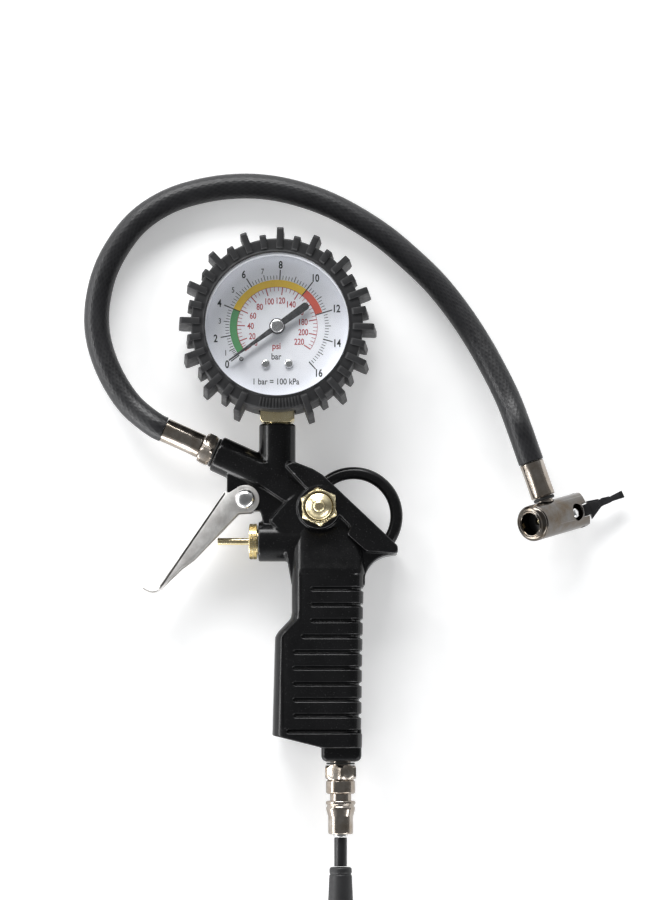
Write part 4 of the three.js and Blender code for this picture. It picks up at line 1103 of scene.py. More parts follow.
@dataclass
class Trigger:
    """The folded sheet-metal lever and the rivet that it turns on."""

    casting: Casting
    sheet: float = 1.0
    inner: float = 5.0
    dome: float = 4.1
    crown: float = 2.7

    def lever(self) -> list[bpy.types.Mesh]:
        """The two flanges, the fold between them and the curled finger tip."""
        flange = [
            *arc(0, 0, 5.75, 128, -68, 40), (-2.7, -5.6), (-21.0, -24.6), (-25.8, -28.1), (-34.2, -36.2),
            (-34.9, -35.4), (-8.4, 3.1), (-6.6, 2.6),
        ]
        outer = self.inner + self.sheet
        fold = [(-8.6, 2.9), (-7.8, 2.2), (-34.4, -36.9), (-35.2, -36.4)]
        tip = [
            (-34.1, -36.2), (-35.4, -36.9), (-36.4, -37.25), (-37.6, -37.45), (-39.0, -37.2),
            (-40.3, -36.65), (-41.6, -35.9), (-42.0, -36.4), (-40.6, -37.25), (-39.2, -37.9),
            (-37.5, -38.2), (-35.9, -37.8), (-34.9, -37.0),
        ]
        plates = [slab(flange, self.inner, outer), slab(flange, -outer, -self.inner)]
        sides = drilled(mesh_of("sides", plates), [bar(2.1, -20, 20)])
        bent = mesh_of("bent", [slab(fold, -outer, outer), slab(tip, -outer + 1.4, outer - 1.4)])
        return [eased(sides, 0.18, 2), eased(bent, 0.25, 3)]

    def rivet(self) -> Shell:
        """The rivet, domed at both ends."""
        head = self.inner + self.sheet + 0.3
        turns = [t * DEG for t in range(0, 91, 6)]
        half = [(self.dome * math.sin(t), head + 0.2 + self.crown * math.cos(t)) for t in turns]
        half += [(self.dome - 0.15, head), (1.8, head)]
        return turned(half + [(r, -z) for r, z in reversed(half)], 72)

    def build(self) -> None:
        """Make the lever and its rivet."""
        x, y, _ = self.casting.pivot
        home = Matrix.Translation((x, y, self.casting.mid))
        parts = self.lever()
        for part in parts:
            part.transform(home)
        finish_piece("squeeze_lever", parts, Look.TRIGGER, "trigger", ["trigger_lever"])
        solid_piece("pivot_rivet", [self.rivet()], Look.RIVET, "trigger_rivet", home)


@dataclass
class FillValve:
    """The brass push pin and gland that the trigger opens, with the poppet behind."""

    casting: Casting
    pin: float = 1.5
    gland: float = 7.3
    thickness: float = 3.4
    teeth: int = 64

    def build(self) -> None:
        """Make the valve's pieces out along the boss."""
        x, y, _ = self.casting.valve_boss
        home = aim((x + self.casting.gland_recess, y, self.casting.mid), (-1, 0, 0))
        low, high = 1.6, 1.6 + self.thickness
        disc = ring(self.pin + 0.35, self.gland - 0.35, low, high, 0.35)
        spigot = ring(self.pin + 0.35, 5.2, -7.5, low + 0.5, 0.2)
        collar = ring(self.pin + 0.35, 3.6, high - 0.4, high + 0.15, 0.2)
        root = self.gland - 0.65
        tooth = [(root, -0.28), (self.gland, -0.02), (self.gland, 0.02), (root, 0.28)]
        rows = [(low + 0.25, low + self.thickness * 0.48), (low + self.thickness * 0.53, high - 0.25)]
        teeth = mesh_of("teeth", [slab(tooth, *row) for row in rows])
        knurl = polar(teeth, self.teeth, 360 / self.teeth, 0, Look.BRASS.paint())
        body = fused("gland", [mesh_of("disc", [disc, spigot, collar]), knurl])
        body.transform(home)
        finish_piece("knurled_gland", [body], Look.BRASS, "gun", ["valve_gland"])
        seal = ring(5.5, self.gland - 0.4, 0.3, 1.3, 0.4)
        solid_piece("gland_ring", [seal], Look.SEAL, "gland_seal", home)
        outer, inner = (corner.x for corner in box_mm("push_pin"))
        pin = bar(self.pin, 0, inner - outer, 0.3, 48)
        inwards = aim((outer, y, self.casting.mid), (1, 0, 0))
        solid_piece("opening_pin", [pin], Look.BRASS, "push_pin", inwards, "valve_stem")


@dataclass
class DeflateValve:
    """The brass hexagon with its domed button."""

    casting: Casting
    flats: float = 14.0
    height: float = 4.2
    turn: float = 34.5
    rim: float = 5.6
    dome: float = 4.5
    way: float = 1.55

    def build(self) -> None:
        """Make the collar and the button."""
        x, y, _ = self.casting.bleed_boss
        base = box_mm("deflate_gland")[1].z - self.height
        guide = self.rim + 0.35
        well = base + 1.3
        top = base + self.height
        solid = hexagon(self.flats, base, top, 0.9).placed(Matrix.Rotation(self.turn * DEG, 4, "Z"))
        bores = [bar(guide, well, base + 20, 0.1, 96), bar(self.way, 0, 60)]
        blank = drilled(mesh_of("hex", [solid]), bores)
        lip = ring(guide, guide + 0.75, top - 0.3, top + 0.2, 0.25)
        spigot = ring(self.way, 5.0, base - 6.3, base + 0.3)
        collar = fused("collar", [eased(blank, 0.12, 2), mesh_of("lip", [lip, spigot])])
        collar.transform(Matrix.Translation((x, y, 0)))
        finish_piece("deflate_collar", [collar], Look.BRASS, "gun", ["deflate_gland"], 40)
        low, high = box_mm("deflate_button")
        rim = high.z - 3.4
        bead = [
            (0, rim), (self.rim, rim), (self.rim, rim + 0.7), (self.rim - 0.3, rim + 1.1),
            (self.dome, rim + 1.5), (3.6, rim + 2.1), (2.7, rim + 2.6), (2.2, rim + 2.75),
            (2.0, rim + 3.05), (1.2, high.z), (0, high.z),
        ]
        button = [turned(softened(bead, 0.3), 96), bar(1.2, low.z, rim + 0.4)]
        solid_piece("deflate_dome", button, Look.BRASS, "deflate_button", Matrix.Translation((x, y, 0)),
                    "deflate")


@dataclass
class Inlet:
    """The plated inlet adaptor, its sliding sleeve and the short supply tail."""

    casting: Casting
    flats: float = 12.6
    way: float = 1.4

    def build(self) -> None:
        """Make the pieces down from the foot of the grip."""
        home = aim((self.casting.inlet_x, self.casting.foot_y, self.casting.mid), (0, -1, 0))
        start, nut, collar = 1.4, 7.0, 13.0
        neck = collar + 9.5
        waist = [
            (2.2, nut - 0.4), (5.4, nut - 0.4), (5.4, nut + 0.5), (6.0, nut + 0.9), (6.0, collar - 0.6),
            (5.4, collar), (3.4, collar), (3.4, nut), (2.2, nut),
        ]
        body = [
            ring(2.2, 4.2, -8, start + 0.4), hexagon(self.flats, start, nut, 1.0),
            turned(softened(waist, 0.2, True), closed=True), ring(3.3, 4.4, collar - 0.5, neck, 0.3),
        ]
        solid_piece("inlet_adaptor", body, Look.NICKEL, "inlet_coupler", home)
        solid_piece("inlet_washer", [ring(4.5, 5.8, 0.3, 1.1, 0.3)], Look.SEAL, "inlet_gasket", home)
        top = collar + 0.3 + 2.4
        foot = top + 13.6
        profile = [
            (4.75, top), (5.7, top), (6.1, top + 0.5), (6.1, top + 1.4), (5.55, top + 1.8),
            (5.55, top + 2.3), (6.0, top + 2.8), (5.9, top + 3.6), (5.1, top + 6.4), (5.1, foot - 0.5),
            (4.7, foot), (3.4, foot), (3.4, neck + 2.7), (4.75, neck + 2.7),
        ]
        sleeve = turned(softened(profile, 0.3, True), closed=True)
        solid_piece("release_sleeve", [sleeve], Look.NICKEL, "inlet_sleeve", home, "sleeve")
        end = foot + 1
        self.tail(home, end)
        plug = ring(self.way, 3.0, collar - 0.7, end, 0.3)
        solid_piece("supply_nipple", [plug], Look.RIVET, "supply_plug", home)

    def tail(self, home: Matrix, start: float) -> None:
        """The rubber neck and the flared boot below the sleeve."""
        neck = ring(self.way, 2.6, start + 0.3, start + 11.9, 0.2)
        solid_piece("tail_neck", [neck], Look.NECK, "supply_neck", home)
        top, foot = start + 12.2, start + 29.4
        profile = [
            (self.way, top), (3.9, top), (4.5, top + 0.6), (4.55, top + 2.2), (4.3, top + 2.5),
            (4.3, top + 3.1), (4.6, top + 3.4), (5.2, foot - 0.4), (4.9, foot), (self.way, foot),
        ]
        boot = turned(softened(profile, 0.35, True), closed=True)
        solid_piece("tail_boot", [boot], Look.BOOT, "supply_boot", home)


# ---------------------------------------------------------------- the hose and the chuck


@dataclass
class HoseLine:
    """The air hose, its plated end on the gun and its ferrules."""

    casting: Casting
    chuck: "Chuck"
    radius: float = 5.2
    face: float = 23.8
    route: tuple[Triple, ...] = (
        (-77.9, 100.9, 9.5), (-86.4, 113.9, 7.3), (-91.4, 127.9, 6.0), (-92.4, 139.6, 5.4),
        (-89.9, 154.1, 5.4), (-84.8, 165.6, 5.4), (-75.9, 177.4, 5.4), (-63.9, 185.7, 5.4),
        (-49.2, 190.6, 5.4), (-33.5, 192.6, 5.4), (-19.8, 191.8, 5.4), (-6.3, 188.6, 5.4),
        (4.9, 184.3, 5.4), (15.7, 178.5, 5.4), (26.9, 171.0, 5.4), (36.9, 162.5, 5.4),
        (47.0, 152.7, 5.5), (55.9, 141.6, 6.2), (64.1, 129.0, 8.2), (70.9, 116.3, 11.4),
        (77.1, 102.8, 15.2),
    )

    def corners(self) -> list[Vector]:
        """The chosen points, with the straight stretches at both ends."""
        start = Vector((self.casting.barrel[0], self.casting.barrel[1], self.casting.mid))
        out = self.casting.barrel_out
        far = self.chuck.ferrule[1] + 0.3
        ends = [self.chuck.frame @ Vector((0, far + step, 0)) for step in (14, 3, 0)]
        return [start + out * self.face, start + out * (self.face + 3), *map(Vector, self.route), *ends]

    def line(self, spacing: float = 0.9) -> list[Vector]:
        """The smooth middle line through the chosen points."""
        known = self.corners()
        ends = [known[0] * 2 - known[1], *known, known[-1] * 2 - known[-2]]
        points: list[Vector] = []
        for p0, p1, p2, p3 in zip(ends, ends[1:], ends[2:], ends[3:]):
            spans = [max((b - a).length, 1e-6) ** 0.5 for a, b in ((p0, p1), (p1, p2), (p2, p3))]
            knots = [0.0, spans[0], spans[0] + spans[1], sum(spans)]
            steps = max(2, round((p2 - p1).length / spacing))
            for i in range(steps):
                points.append(self.between((p0, p1, p2, p3), knots, knots[1] + spans[1] * i / steps))
        return points + [known[-1]]

    @staticmethod
    def between(four: tuple[Vector, ...], knots: list[float], t: float) -> Vector:
        """One point of the centripetal curve through the middle two of four points."""

        def mix(a: Vector, b: Vector, low: float, high: float) -> Vector:
            return a.lerp(b, (t - low) / (high - low))

        k0, k1, k2, k3 = knots
        first, middle, last = (mix(four[i], four[i + 1], knots[i], knots[i + 1]) for i in range(3))
        before, after = mix(first, middle, k0, k2), mix(middle, last, k1, k3)
        return mix(before, after, k1, k2)

    def skin(self, line: list[Vector]) -> bpy.types.Mesh:
        """The tube's surface, with its map running round it and along it in metres."""
        sides = 48
        section = arc(0, 0, self.radius, 0, 360, sides)[:-1]
        mesh = mesh_of("hose", [swept(line, section)])
        travelled = [0.0]
        for a, b in zip(line, line[1:]):
            travelled.append(travelled[-1] + (b - a).length * MM)
        layer = mesh.uv_layers.new(name="Skin")
        for polygon in mesh.polygons:
            columns = [mesh.loops[i].vertex_index % sides for i in polygon.loop_indices]
            wraps = max(columns) - min(columns) > sides / 2
            for i, column in zip(polygon.loop_indices, columns):
                around = column + sides if wraps and column < sides / 2 else column
                layer.data[i].uv = (around / sides, travelled[mesh.loops[i].vertex_index // sides])
        return mesh

    def ferrule(self, name: str, span: Pair, home: Matrix, node: str, mouth: float = 2.4) -> None:
        """Make a crimped ferrule: eight soft flutes between two rolled ends.

        Args:
            name: The piece's name.
            span: Where it starts and ends along its local +Z.
            home: The frame that it is made in.
            node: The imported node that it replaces.
            mouth: The inner radius of its first stretch, over the stem.
        """
        low, high = span
        radius, bore = 5.0, 2.4
        flutes = 8

        def crimp(angle: float, height: float) -> float:
            share = (height - low) / (high - low)
            grip = max(0.0, math.sin(math.pi * min(max((share - 0.1) / 0.8, 0.0), 1.0))) ** 0.4
            return -0.1 * grip * (0.5 + 0.5 * math.cos(flutes * angle))

        steps = [low + (high - low) * i / 24 for i in range(1, 24)]
        outside = [
            (radius - 0.35, low), (radius, low + 0.3), *[(radius, y) for y in steps], (radius, high - 0.3),
            (radius - 0.35, high),
        ]
        inside = [(bore, high), (bore, low + 1.4), (mouth, low + 1.4), (mouth, low)]
        shell = turned([*outside, *inside], 160, closed=True, ripple=crimp)
        solid_piece(name, [shell], Look.NICKEL, node, home, crease=40)

    def build(self) -> None:
        x, y, _ = self.casting.barrel
        home = aim((x, y, self.casting.mid), self.casting.barrel_out)
        tail = [(1.2, 6.0), (4.6, 6.0), (4.6, 6.45), (2.1, 6.45), (2.1, 21.5), (1.2, 21.5)]
        fitting = [
            ring(1.2, 4.6, -10, 1.6), hexagon(12.6, 1.4, 6.3, 1.0),
            turned(softened(tail, 0.15, True), closed=True),
        ]
        solid_piece("hose_nipple", fitting, Look.NICKEL, "hose_fitting", home)
        solid_piece("nipple_washer", [ring(4.9, 6.2, 0.3, 1.1, 0.3)], Look.SEAL, "fitting_washer", home)
        self.ferrule("gun_ferrule", (6.7, self.face - 0.3), home, "near_ferrule")
        far = self.chuck
        spot = far.frame @ aim((0, 0, 0), (0, 1, 0), (1, 0, 0))
        self.ferrule("chuck_ferrule", far.ferrule, spot, "far_ferrule", 3.3)
        line = self.line()
        mesh = self.skin(line)
        hose = finish_piece("air_hose", [mesh], Look.HOSE, "gun", ["hose"], 60)


@dataclass
class Chuck:
    """The clip-on chuck: a plated barrel with a mouth, a swivel stem, a latch and a moulded lever."""

    frame: Matrix
    radius: float = 7.3
    mouth: float = -15.0
    rear: float = 21.0
    latch: Pair = (9.8, -1.0)
    window: float = 3.5
    stem_way: float = 1.2
    ferrule: Pair = (9.2, 24.0)
    pivot: Pair = (17.5, 1.0)
    rise: float = 41.0
    thick: float = 1.1
    hub: Pair = (-3.35, 1.35)
    names: tuple[str, ...] = (
        "chuck_barrel", "chuck_mouth", "mouth_seal", "core_pin", "latch_plunger", "swivel_stem", "stem_ring",
        "clip_lever", "clip_pin",
    )

    @classmethod
    def found(cls, joints: Sequence[dict]) -> "Chuck":
        """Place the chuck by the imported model's lever and latch joints."""
        by_name = {joint["name"]: joint for joint in joints}
        lever, latch = by_name["lever_lift"], by_name["latch_slide"]
        ahead = Vector(latch["axis"]).normalized()
        to_hose = -Vector(lever["axis"]).normalized()
        up = ahead.cross(to_hose)
        start = Vector(lever["pos_m"]) / MM - ahead * cls.pivot[0] - up * cls.pivot[1]
        turn = Matrix((ahead, to_hose, up)).transposed().to_4x4()
        return cls(Matrix.Translation(start) @ turn)

    def along(self) -> Matrix:
        """The frame whose local +Z runs from the mouth to the lever."""
        return self.frame @ Matrix.Rotation(90 * DEG, 4, "Y")

    def across(self) -> Matrix:
        """The frame whose local +Z runs towards the hose."""
        return self.frame @ aim((0, 0, 0), (0, 1, 0), (1, 0, 0))

    def barrel(self) -> bpy.types.Mesh:
        """The plated barrel with its bore, its round window, its slot and its oblique rear."""
        start = self.mouth + 2.5
        outline = [(0, start), (self.radius, start), (self.radius, self.rear), (0, self.rear)]
        lengthwise = Matrix.Rotation(90 * DEG, 4, "Y")
        shell = turned(softened(outline, 0.5), 128).placed(lengthwise)
        rear = [(16.3, 7.6), (21.6, 1.6), (30, 1.6), (30, 20), (16.3, 20)]
        upright = Matrix.Rotation(90 * DEG, 4, "X")
        side = aim((0, 0, 0), (0, 1, 0), (1, 0, 0))
        cross = aim((self.pivot[0], 0, self.pivot[1]), (0, 1, 0))
        cut = drilled(mesh_of("barrel", [shell]), [
            bar(5.9, start - 1, -4.4, 0.2).placed(lengthwise), bar(3.7, 2.4, 14, 0.2).placed(side),
            bar(1.6, -1, 3, 0.1).placed(side), bar(1.6, -5.4, 1, 0.1).placed(lengthwise),
            slab(rear, -20, 20).placed(upright), block(13.6, 30, -3.7, 1.7, -2.6, 12),
            bar(self.window, -1.6, 12, 0.1).shifted(*self.latch), bar(1.2, -20, 20, 0.1).placed(cross),
        ])
        return eased(cut, 0.28, 3, 38)

    def lever(self) -> list[bpy.types.Mesh]:
        """The moulded lever: a pivot boss, a tapering blade with two steps and a flared end."""
        outline = [
            (4.9, 2.35), (9.6, 1.75), (10.1, 1.35), (10.9, 1.3), (11.3, 1.65), (14.4, 1.3), (14.8, 1.0),
            (15.3, 1.0), (15.6, 1.25), (20.3, 1.9), (20.6, -1.1), (15.4, -1.0), (14.4, -1.3),
            (11.2, -1.5), (9.9, -1.8), (4.9, -5.2),
        ]
        crest = [(5.4, 1.5), (9.4, 1.1), (9.4, -1.0), (5.4, -3.6)]
        cross = aim((0, 0, 0), (0, 1, 0))
        arm = mesh_of("arm", [block(0, 6, *self.hub, -self.thick, self.thick)])
        hub = mesh_of("hub", [bar(2.1, *self.hub, 0.3).placed(cross)])
        blade = mesh_of("blade", [slab(outline, -self.thick, self.thick)])
        body = drilled(worked(arm, Joint.ADD, [hub, blade]), [bar(1.2, -20, 20, 0.1).placed(cross)])
        ridge = mesh_of("ridge", [slab(crest, self.thick - 0.2, self.thick + 0.2)])
        return [eased(body, 0.32, 3, 30), eased(ridge, 0.15, 2)]

    def build(self) -> None:
        """Make every piece of the chuck in its own frame."""
        along, across = self.along(), self.across()
        barrel = self.barrel()
        barrel.transform(self.frame)
        # The barrel and its mouth wear the darker nickel copy, with its painted dark reflection.
        finish_piece("chuck_barrel", [barrel], Look.BARREL, "gun", ["chuck_body"], 40)
        front, back, bore = self.mouth, self.mouth + 2.2, 5.6
        lip = [
            (4.3, front + 0.6), (4.7, front), (5.1, front + 0.05), (5.35, front + 0.45), (6.2, front + 0.55),
            (7.0, front + 1.2), (7.3, back - 0.5), (7.2, back), (bore, back), (bore, back + 3.4),
            (4.3, back + 3.4),
        ]
        shell = turned(softened(lip, 0.25, True), 128, closed=True)
        solid_piece("chuck_mouth", [shell], Look.BARREL, "chuck_bezel", along)
        seal = ring(1.3, bore, back + 3.7, back + 5.9, 0.5)
        solid_piece("mouth_seal", [seal], Look.SEAL, "chuck_seal", along)
        disc = mesh_of("disc", [ring(0.6, bore, back + 6.2, -4.7, 0.2)])
        ways = polar(mesh_of("way", [bar(0.9, -20, 20, 0.1, 24).shifted(3.1)]), 3, 120, 0)
        post = mesh_of("post", [bar(1.1, back + 4.3, -4.9, 0.3)])
        core = fused("core", [worked(disc, Joint.CUT, [ways]), post])
        core.transform(along)
        finish_piece("core_pin", [core], Look.BRASS, "gun", ["chuck_core_pin"])
        crown = [
            (0, -1.3), (1.9, -1.3), (1.9, 4.0), (2.3, 4.3), (2.3, 4.9), (2.15, 5.5), (1.75, 5.95),
            (1.0, 6.2), (0, 6.25),
        ]
        latch = turned(softened(crown, 0.2), 64).shifted(*self.latch)
        solid_piece("latch_plunger", [latch], Look.RIVET, "chuck_latch", self.frame, "latch")
        steps = [(3.4, 2.7, 7.5, 0.3), (3.0, 7.2, 10, 0.2), (2.1, 9, 22, 0.2)]
        stem = [ring(self.stem_way, *step) for step in steps]
        solid_piece("swivel_stem", stem, Look.NICKEL, "chuck_stem", across)
        solid_piece("stem_ring", [ring(3.3, 4.35, 7.7, 9.0, 0.45)], Look.SEAL, "chuck_o_ring", across)
        hinge = Matrix.Translation((self.pivot[0], 0, self.pivot[1]))
        parts = self.lever()
        for part in parts:
            part.transform(self.frame @ hinge @ Matrix.Rotation(-self.rise * DEG, 4, "Y"))
        finish_piece("clip_lever", parts, Look.LEVER, "lever", ["chuck_lever"])
        cross = self.frame @ aim((self.pivot[0], 0, self.pivot[1]), (0, 1, 0))
        solid_piece("clip_pin", [bar(0.9, -5.6, 5.6, 0.2, 32)], Look.RIVET, "chuck_lever_pin", cross)


# ---------------------------------------------------------------- the gauge


@dataclass
class Boot:
    """The moulded rubber boot: a ring with long and short lugs over its front edge and side."""

    centre: Pair
    front: float
    inner: float = 31.9
    wall: float = 3.1
    opening: float = 29.2
    positions: int = 32
    width: float = 2.7
    turn: float = -2.0
    reaches: Pair = (4.3, 1.5)
    spread: float = 1.6

    def ring(self) -> Shell:
        """The boot without its lugs."""
        outer, hold = self.inner + self.wall, self.inner - 4.9
        seat = self.front - 1.9
        profile = [
            (hold, 0), (outer, 0), (outer, self.front), (self.opening + 0.9, self.front),
            (self.opening + 0.7, self.front + 0.3), (self.opening, self.front + 0.3), (self.opening, seat),
            (self.inner, seat), (self.inner, 2.3), (hold, 2.3),
        ]
        return turned(softened(profile, 0.9, closed=True), 160, closed=True)

    def lug(self, reach: float) -> bpy.types.Mesh:
        """One lug in the local XZ plane, its outer end slanting out towards the back."""
        outer, top = self.inner + self.wall, self.front + 0.8
        end, foot = outer + reach, 4.6
        side = [
            (outer - 1.6, foot), (end + self.spread - 0.9, foot), (end + self.spread, foot + 1.9),
            (end + 0.2, top - 0.6), (end - 0.6, top), (self.opening + 2.2, top),
            (self.opening + 1.4, top - 0.9), (self.opening + 1.4, top - 3), (outer - 1.6, top - 4),
        ]
        blank = slab(side, -self.width / 2, self.width / 2).placed(Matrix.Rotation(90 * DEG, 4, "X"))
        return eased(mesh_of("lug", [blank]), 0.3, 3)

    def lugs(self) -> list[bpy.types.Mesh]:
        """Long and short lugs by turns; the three places over the socket stay empty."""
        pitch = 360 / self.positions
        long_lug, short_lug = (self.lug(reach) for reach in self.reaches)
        first = self.turn - 90
        count = self.positions // 2 - 1
        return [
            polar(long_lug, count, 2 * pitch, first + 2 * pitch, Look.BOOT.paint()),
            polar(short_lug, count - 1, 2 * pitch, first + 3 * pitch, Look.BOOT.paint()),
        ]

    def ribs(self) -> bpy.types.Mesh:
        """The fine ribs on the bare stretch of the front, over the socket."""
        count, pitch, wide = 13, 2.3, 0.7
        start, end = self.opening + 1.4, self.inner + self.wall - 0.5
        rib = block(start, end, -wide / 2, wide / 2, self.front - 1, self.front + 0.45)
        first = -90 - self.turn - pitch * (count - 1) / 2
        return polar(eased(mesh_of("rib", [rib]), 0.15, 2), count, pitch, first, Look.BOOT.paint())

    def build(self) -> None:
        """Make the boot's ring with the way for the socket cut out, and set the lugs and ribs on it."""
        half = 7.5
        low, high = self.front / 2 - half - 2.2, self.front / 2 + half - 3.0
        body = drilled(mesh_of("ring", [self.ring()]), [block(-half, half, -42, -29.4, low, high)])
        whole = fused("boot", [body, *self.lugs(), self.ribs()])
        whole.transform(Matrix.Translation((*self.centre, 0)))
        finish_piece("rubber_boot", [whole], Look.BOOT, "gun", ["gauge_boot"], 35)


@dataclass
class Dial:
    """The printed dial: two scales, a three-colour band, figures and unit names."""

    centre: Pair
    top: float
    radius: float = 29.9
    marks: tuple[Pair, ...] = ((0, 217), (1, 207), (2, 190.7), (4, 157.6), (6, 122.4), (8, 86.9), (10, 51.8),
                               (12, 17.1), (14, -15.2), (16, -47.9))
    ink: float = 0.04
    band: Pair = (16.5, 19.4)
    psi_per_bar: float = 14.504

    def angle(self, bar_value: float) -> float:
        """Where a pressure in bar stands on the dial, in degrees."""
        for (low, a), (high, b) in zip(self.marks, self.marks[1:]):
            if bar_value <= high:
                return a + (b - a) * (bar_value - low) / (high - low)
        return self.marks[-1][1]

    def tick(self, inner: float, outer: float, width: float) -> bpy.types.Mesh:
        """One printed stroke on local +X."""
        return mesh_of("tick", [block(inner, outer, -width / 2, width / 2, self.top, self.top + self.ink)])

    def ticks(self, values: Sequence[float], inner: float, outer: float, width: float,
              look: Look) -> bpy.types.Mesh:
        """Strokes at evenly spaced pressures between two marks."""
        first, last = self.angle(values[0]), self.angle(values[-1])
        pitch = (last - first) / max(len(values) - 1, 1)
        return polar(self.tick(inner, outer, width), len(values), pitch, first, look.paint())

    def bar_scale(self) -> list[bpy.types.Mesh]:
        """The black scale: a long stroke at each named pressure and short ones between."""
        strokes = []
        for (low, _), (high, _) in zip(self.marks, self.marks[1:]):
            steps = round((high - low) * 5)
            values = [low + (high - low) * i / steps for i in range(steps + 1)]
            strokes.append(self.ticks(values, 19.6, 21.2, 0.24, Look.INK_BLACK))
        for value in range(0, 17, 2):
            inner = 16.3 if value in (4, 10, 12) else 19.4
            strokes.append(self.ticks([value], inner, 23.5, 0.44, Look.INK_BLACK))
        for value in range(1, 16, 2):
            strokes.append(self.ticks([value], 19.6, 22.0, 0.3, Look.INK_BLACK))
        return strokes

    def psi_scale(self) -> list[bpy.types.Mesh]:
        """The red scale on its own arc inside the band."""
        strokes = []
        for psi in range(0, 220, 20):
            values = [(psi + step) / self.psi_per_bar for step in (0, 5, 10, 15)]
            for value in values[1:]:
                strokes.append(self.ticks([value], 14.7, 16.4, 0.22, Look.INK_RED))
            strokes.append(self.ticks([values[0]], 13.2, 16.4, 0.42, Look.INK_RED))
        strokes.append(self.ticks([220 / self.psi_per_bar], 13.2, 16.4, 0.42, Look.INK_RED))
        strokes.append(mesh_of("arc", [self.sector(16.32, 16.5, 0, 220 / self.psi_per_bar)]))
        return strokes

    def sector(self, inner: float, outer: float, low: float, high: float) -> Shell:
        """A printed strip between two radii and two pressures."""
        a, b = self.angle(low), self.angle(high)
        steps = max(4, round(abs(a - b) / 2))
        outline = arc(0, 0, outer, a, b, steps) + arc(0, 0, inner, b, a, steps)
        return slab(outline, self.top, self.top + self.ink)

    def word(self, text: str, x: float, y: float, height: float, narrow: float,
             weight: float = 0.0) -> bpy.types.Mesh:
        """Print a figure or a unit name about a point.

        Args:
            text: What is printed.
            x: Its middle, across.
            y: Its middle, up.
            height: The height of a figure.
            narrow: How much it is squeezed across.
            weight: How much the strokes are thickened.

        Returns:
            The printed shape as a mesh.
        """
        curve = bpy.data.curves.new("word", "FONT")
        curve.body = text
        curve.size = height / 0.69
        curve.extrude = self.ink / 2
        curve.offset = weight
        curve.resolution_u = 5
        obj = bpy.data.objects.new("word", curve)
        bpy.context.scene.collection.objects.link(obj)
        bpy.context.view_layer.update()
        mesh = bpy.data.meshes.new_from_object(obj.evaluated_get(bpy.context.evaluated_depsgraph_get()))
        bpy.data.objects.remove(obj)
        bpy.data.curves.remove(curve)
        spots = [v.co for v in mesh.vertices]
        middle = [(min(s[i] for s in spots) + max(s[i] for s in spots)) / 2 for i in range(2)]
        place = Matrix.Translation((x, y, self.top + self.ink / 2)) @ Matrix.Diagonal((narrow, 1, 1, 1))
        mesh.transform(place @ Matrix.Translation((-middle[0], -middle[1], 0)))
        return mesh

    def at(self, radius: float, value: float) -> Pair:
        """The point at a radius and a pressure."""
        return arc(0, 0, radius, self.angle(value), self.angle(value), 1)[0]

    def figures(self) -> dict[Look, list[bpy.types.Mesh]]:
        """Every printed word and figure, by ink."""
        slim = 0.76
        black = [self.word(str(v), *self.at(25.6, v), 3.0, slim, 0.1) for v in range(0, 17, 2)]
        grey = [self.word(str(v), *self.at(23.6, v), 2.2, slim, 0.045) for v in (1, 3, 5, 7)]
        red = [self.word(str(v), *self.at(10.9, v / self.psi_per_bar), 2.45, slim, 0.055)
               for v in range(0, 221, 20)]
        red.append(self.word("psi", -0.3, -8.4, 2.5, 0.9, 0.05))
        grey.append(self.word("bar", -0.3, -12.2, 2.5, 0.86, 0.05))
        grey.append(self.word("1 bar = 100 kPa", -0.3, -22.5, 2.4, 0.86, 0.04))
        return {Look.INK_BLACK: black, Look.INK_GREY: grey, Look.INK_RED: red}

    def plate(self) -> bpy.types.Mesh:
        """The plate with its holes for the arbor, the screws and the stop."""
        low = box_mm("dial_plate")[0].z
        disc = bar(self.radius, low, self.top, 0.12, 160)
        stop = arc(0, 0, 19.7, 222, 222, 1)[0]
        spots = [(0, 0, 1.6), (-4.7, -15.2, 1.2), (4.7, -15.2, 1.2), (*stop, 0.9)]
        holes = [bar(radius, low - 2, self.top + 2, 0.05, 32).shifted(x, y) for x, y, radius in spots]
        return drilled(mesh_of("plate", [disc]), holes)

    def printed(self, name: str, meshes: Sequence[bpy.types.Mesh], look: Look,
                stands_for: Sequence[str] = ()) -> None:
        """Put part of the dial in its place on the gauge."""
        whole = fused(name, meshes)
        whole.transform(Matrix.Translation((*self.centre, 0)))
        finish_piece(name, [whole], look, "gun", stands_for)

    def build(self) -> None:
        """Make the plate and everything printed on it."""
        self.printed("dial_face", [self.plate()], Look.DIAL, ["dial_plate"])
        words = self.figures()
        self.printed("dial_black_print", [*self.bar_scale(), *words[Look.INK_BLACK]], Look.INK_BLACK)
        self.printed("dial_grey_print", words[Look.INK_GREY], Look.INK_GREY)
        self.printed("dial_red_print", [*self.psi_scale(), *words[Look.INK_RED]], Look.INK_RED)
        for name, look, low, high in (("dial_green_band", Look.BAND_GREEN, 0.15, 3.96),
                                      ("dial_yellow_band", Look.BAND_YELLOW, 4.04, 9.96),
                                      ("dial_red_band", Look.BAND_RED, 10.04, 11.95)):
            self.printed(name, [mesh_of("band", [self.sector(*self.band, low, high)])], look)


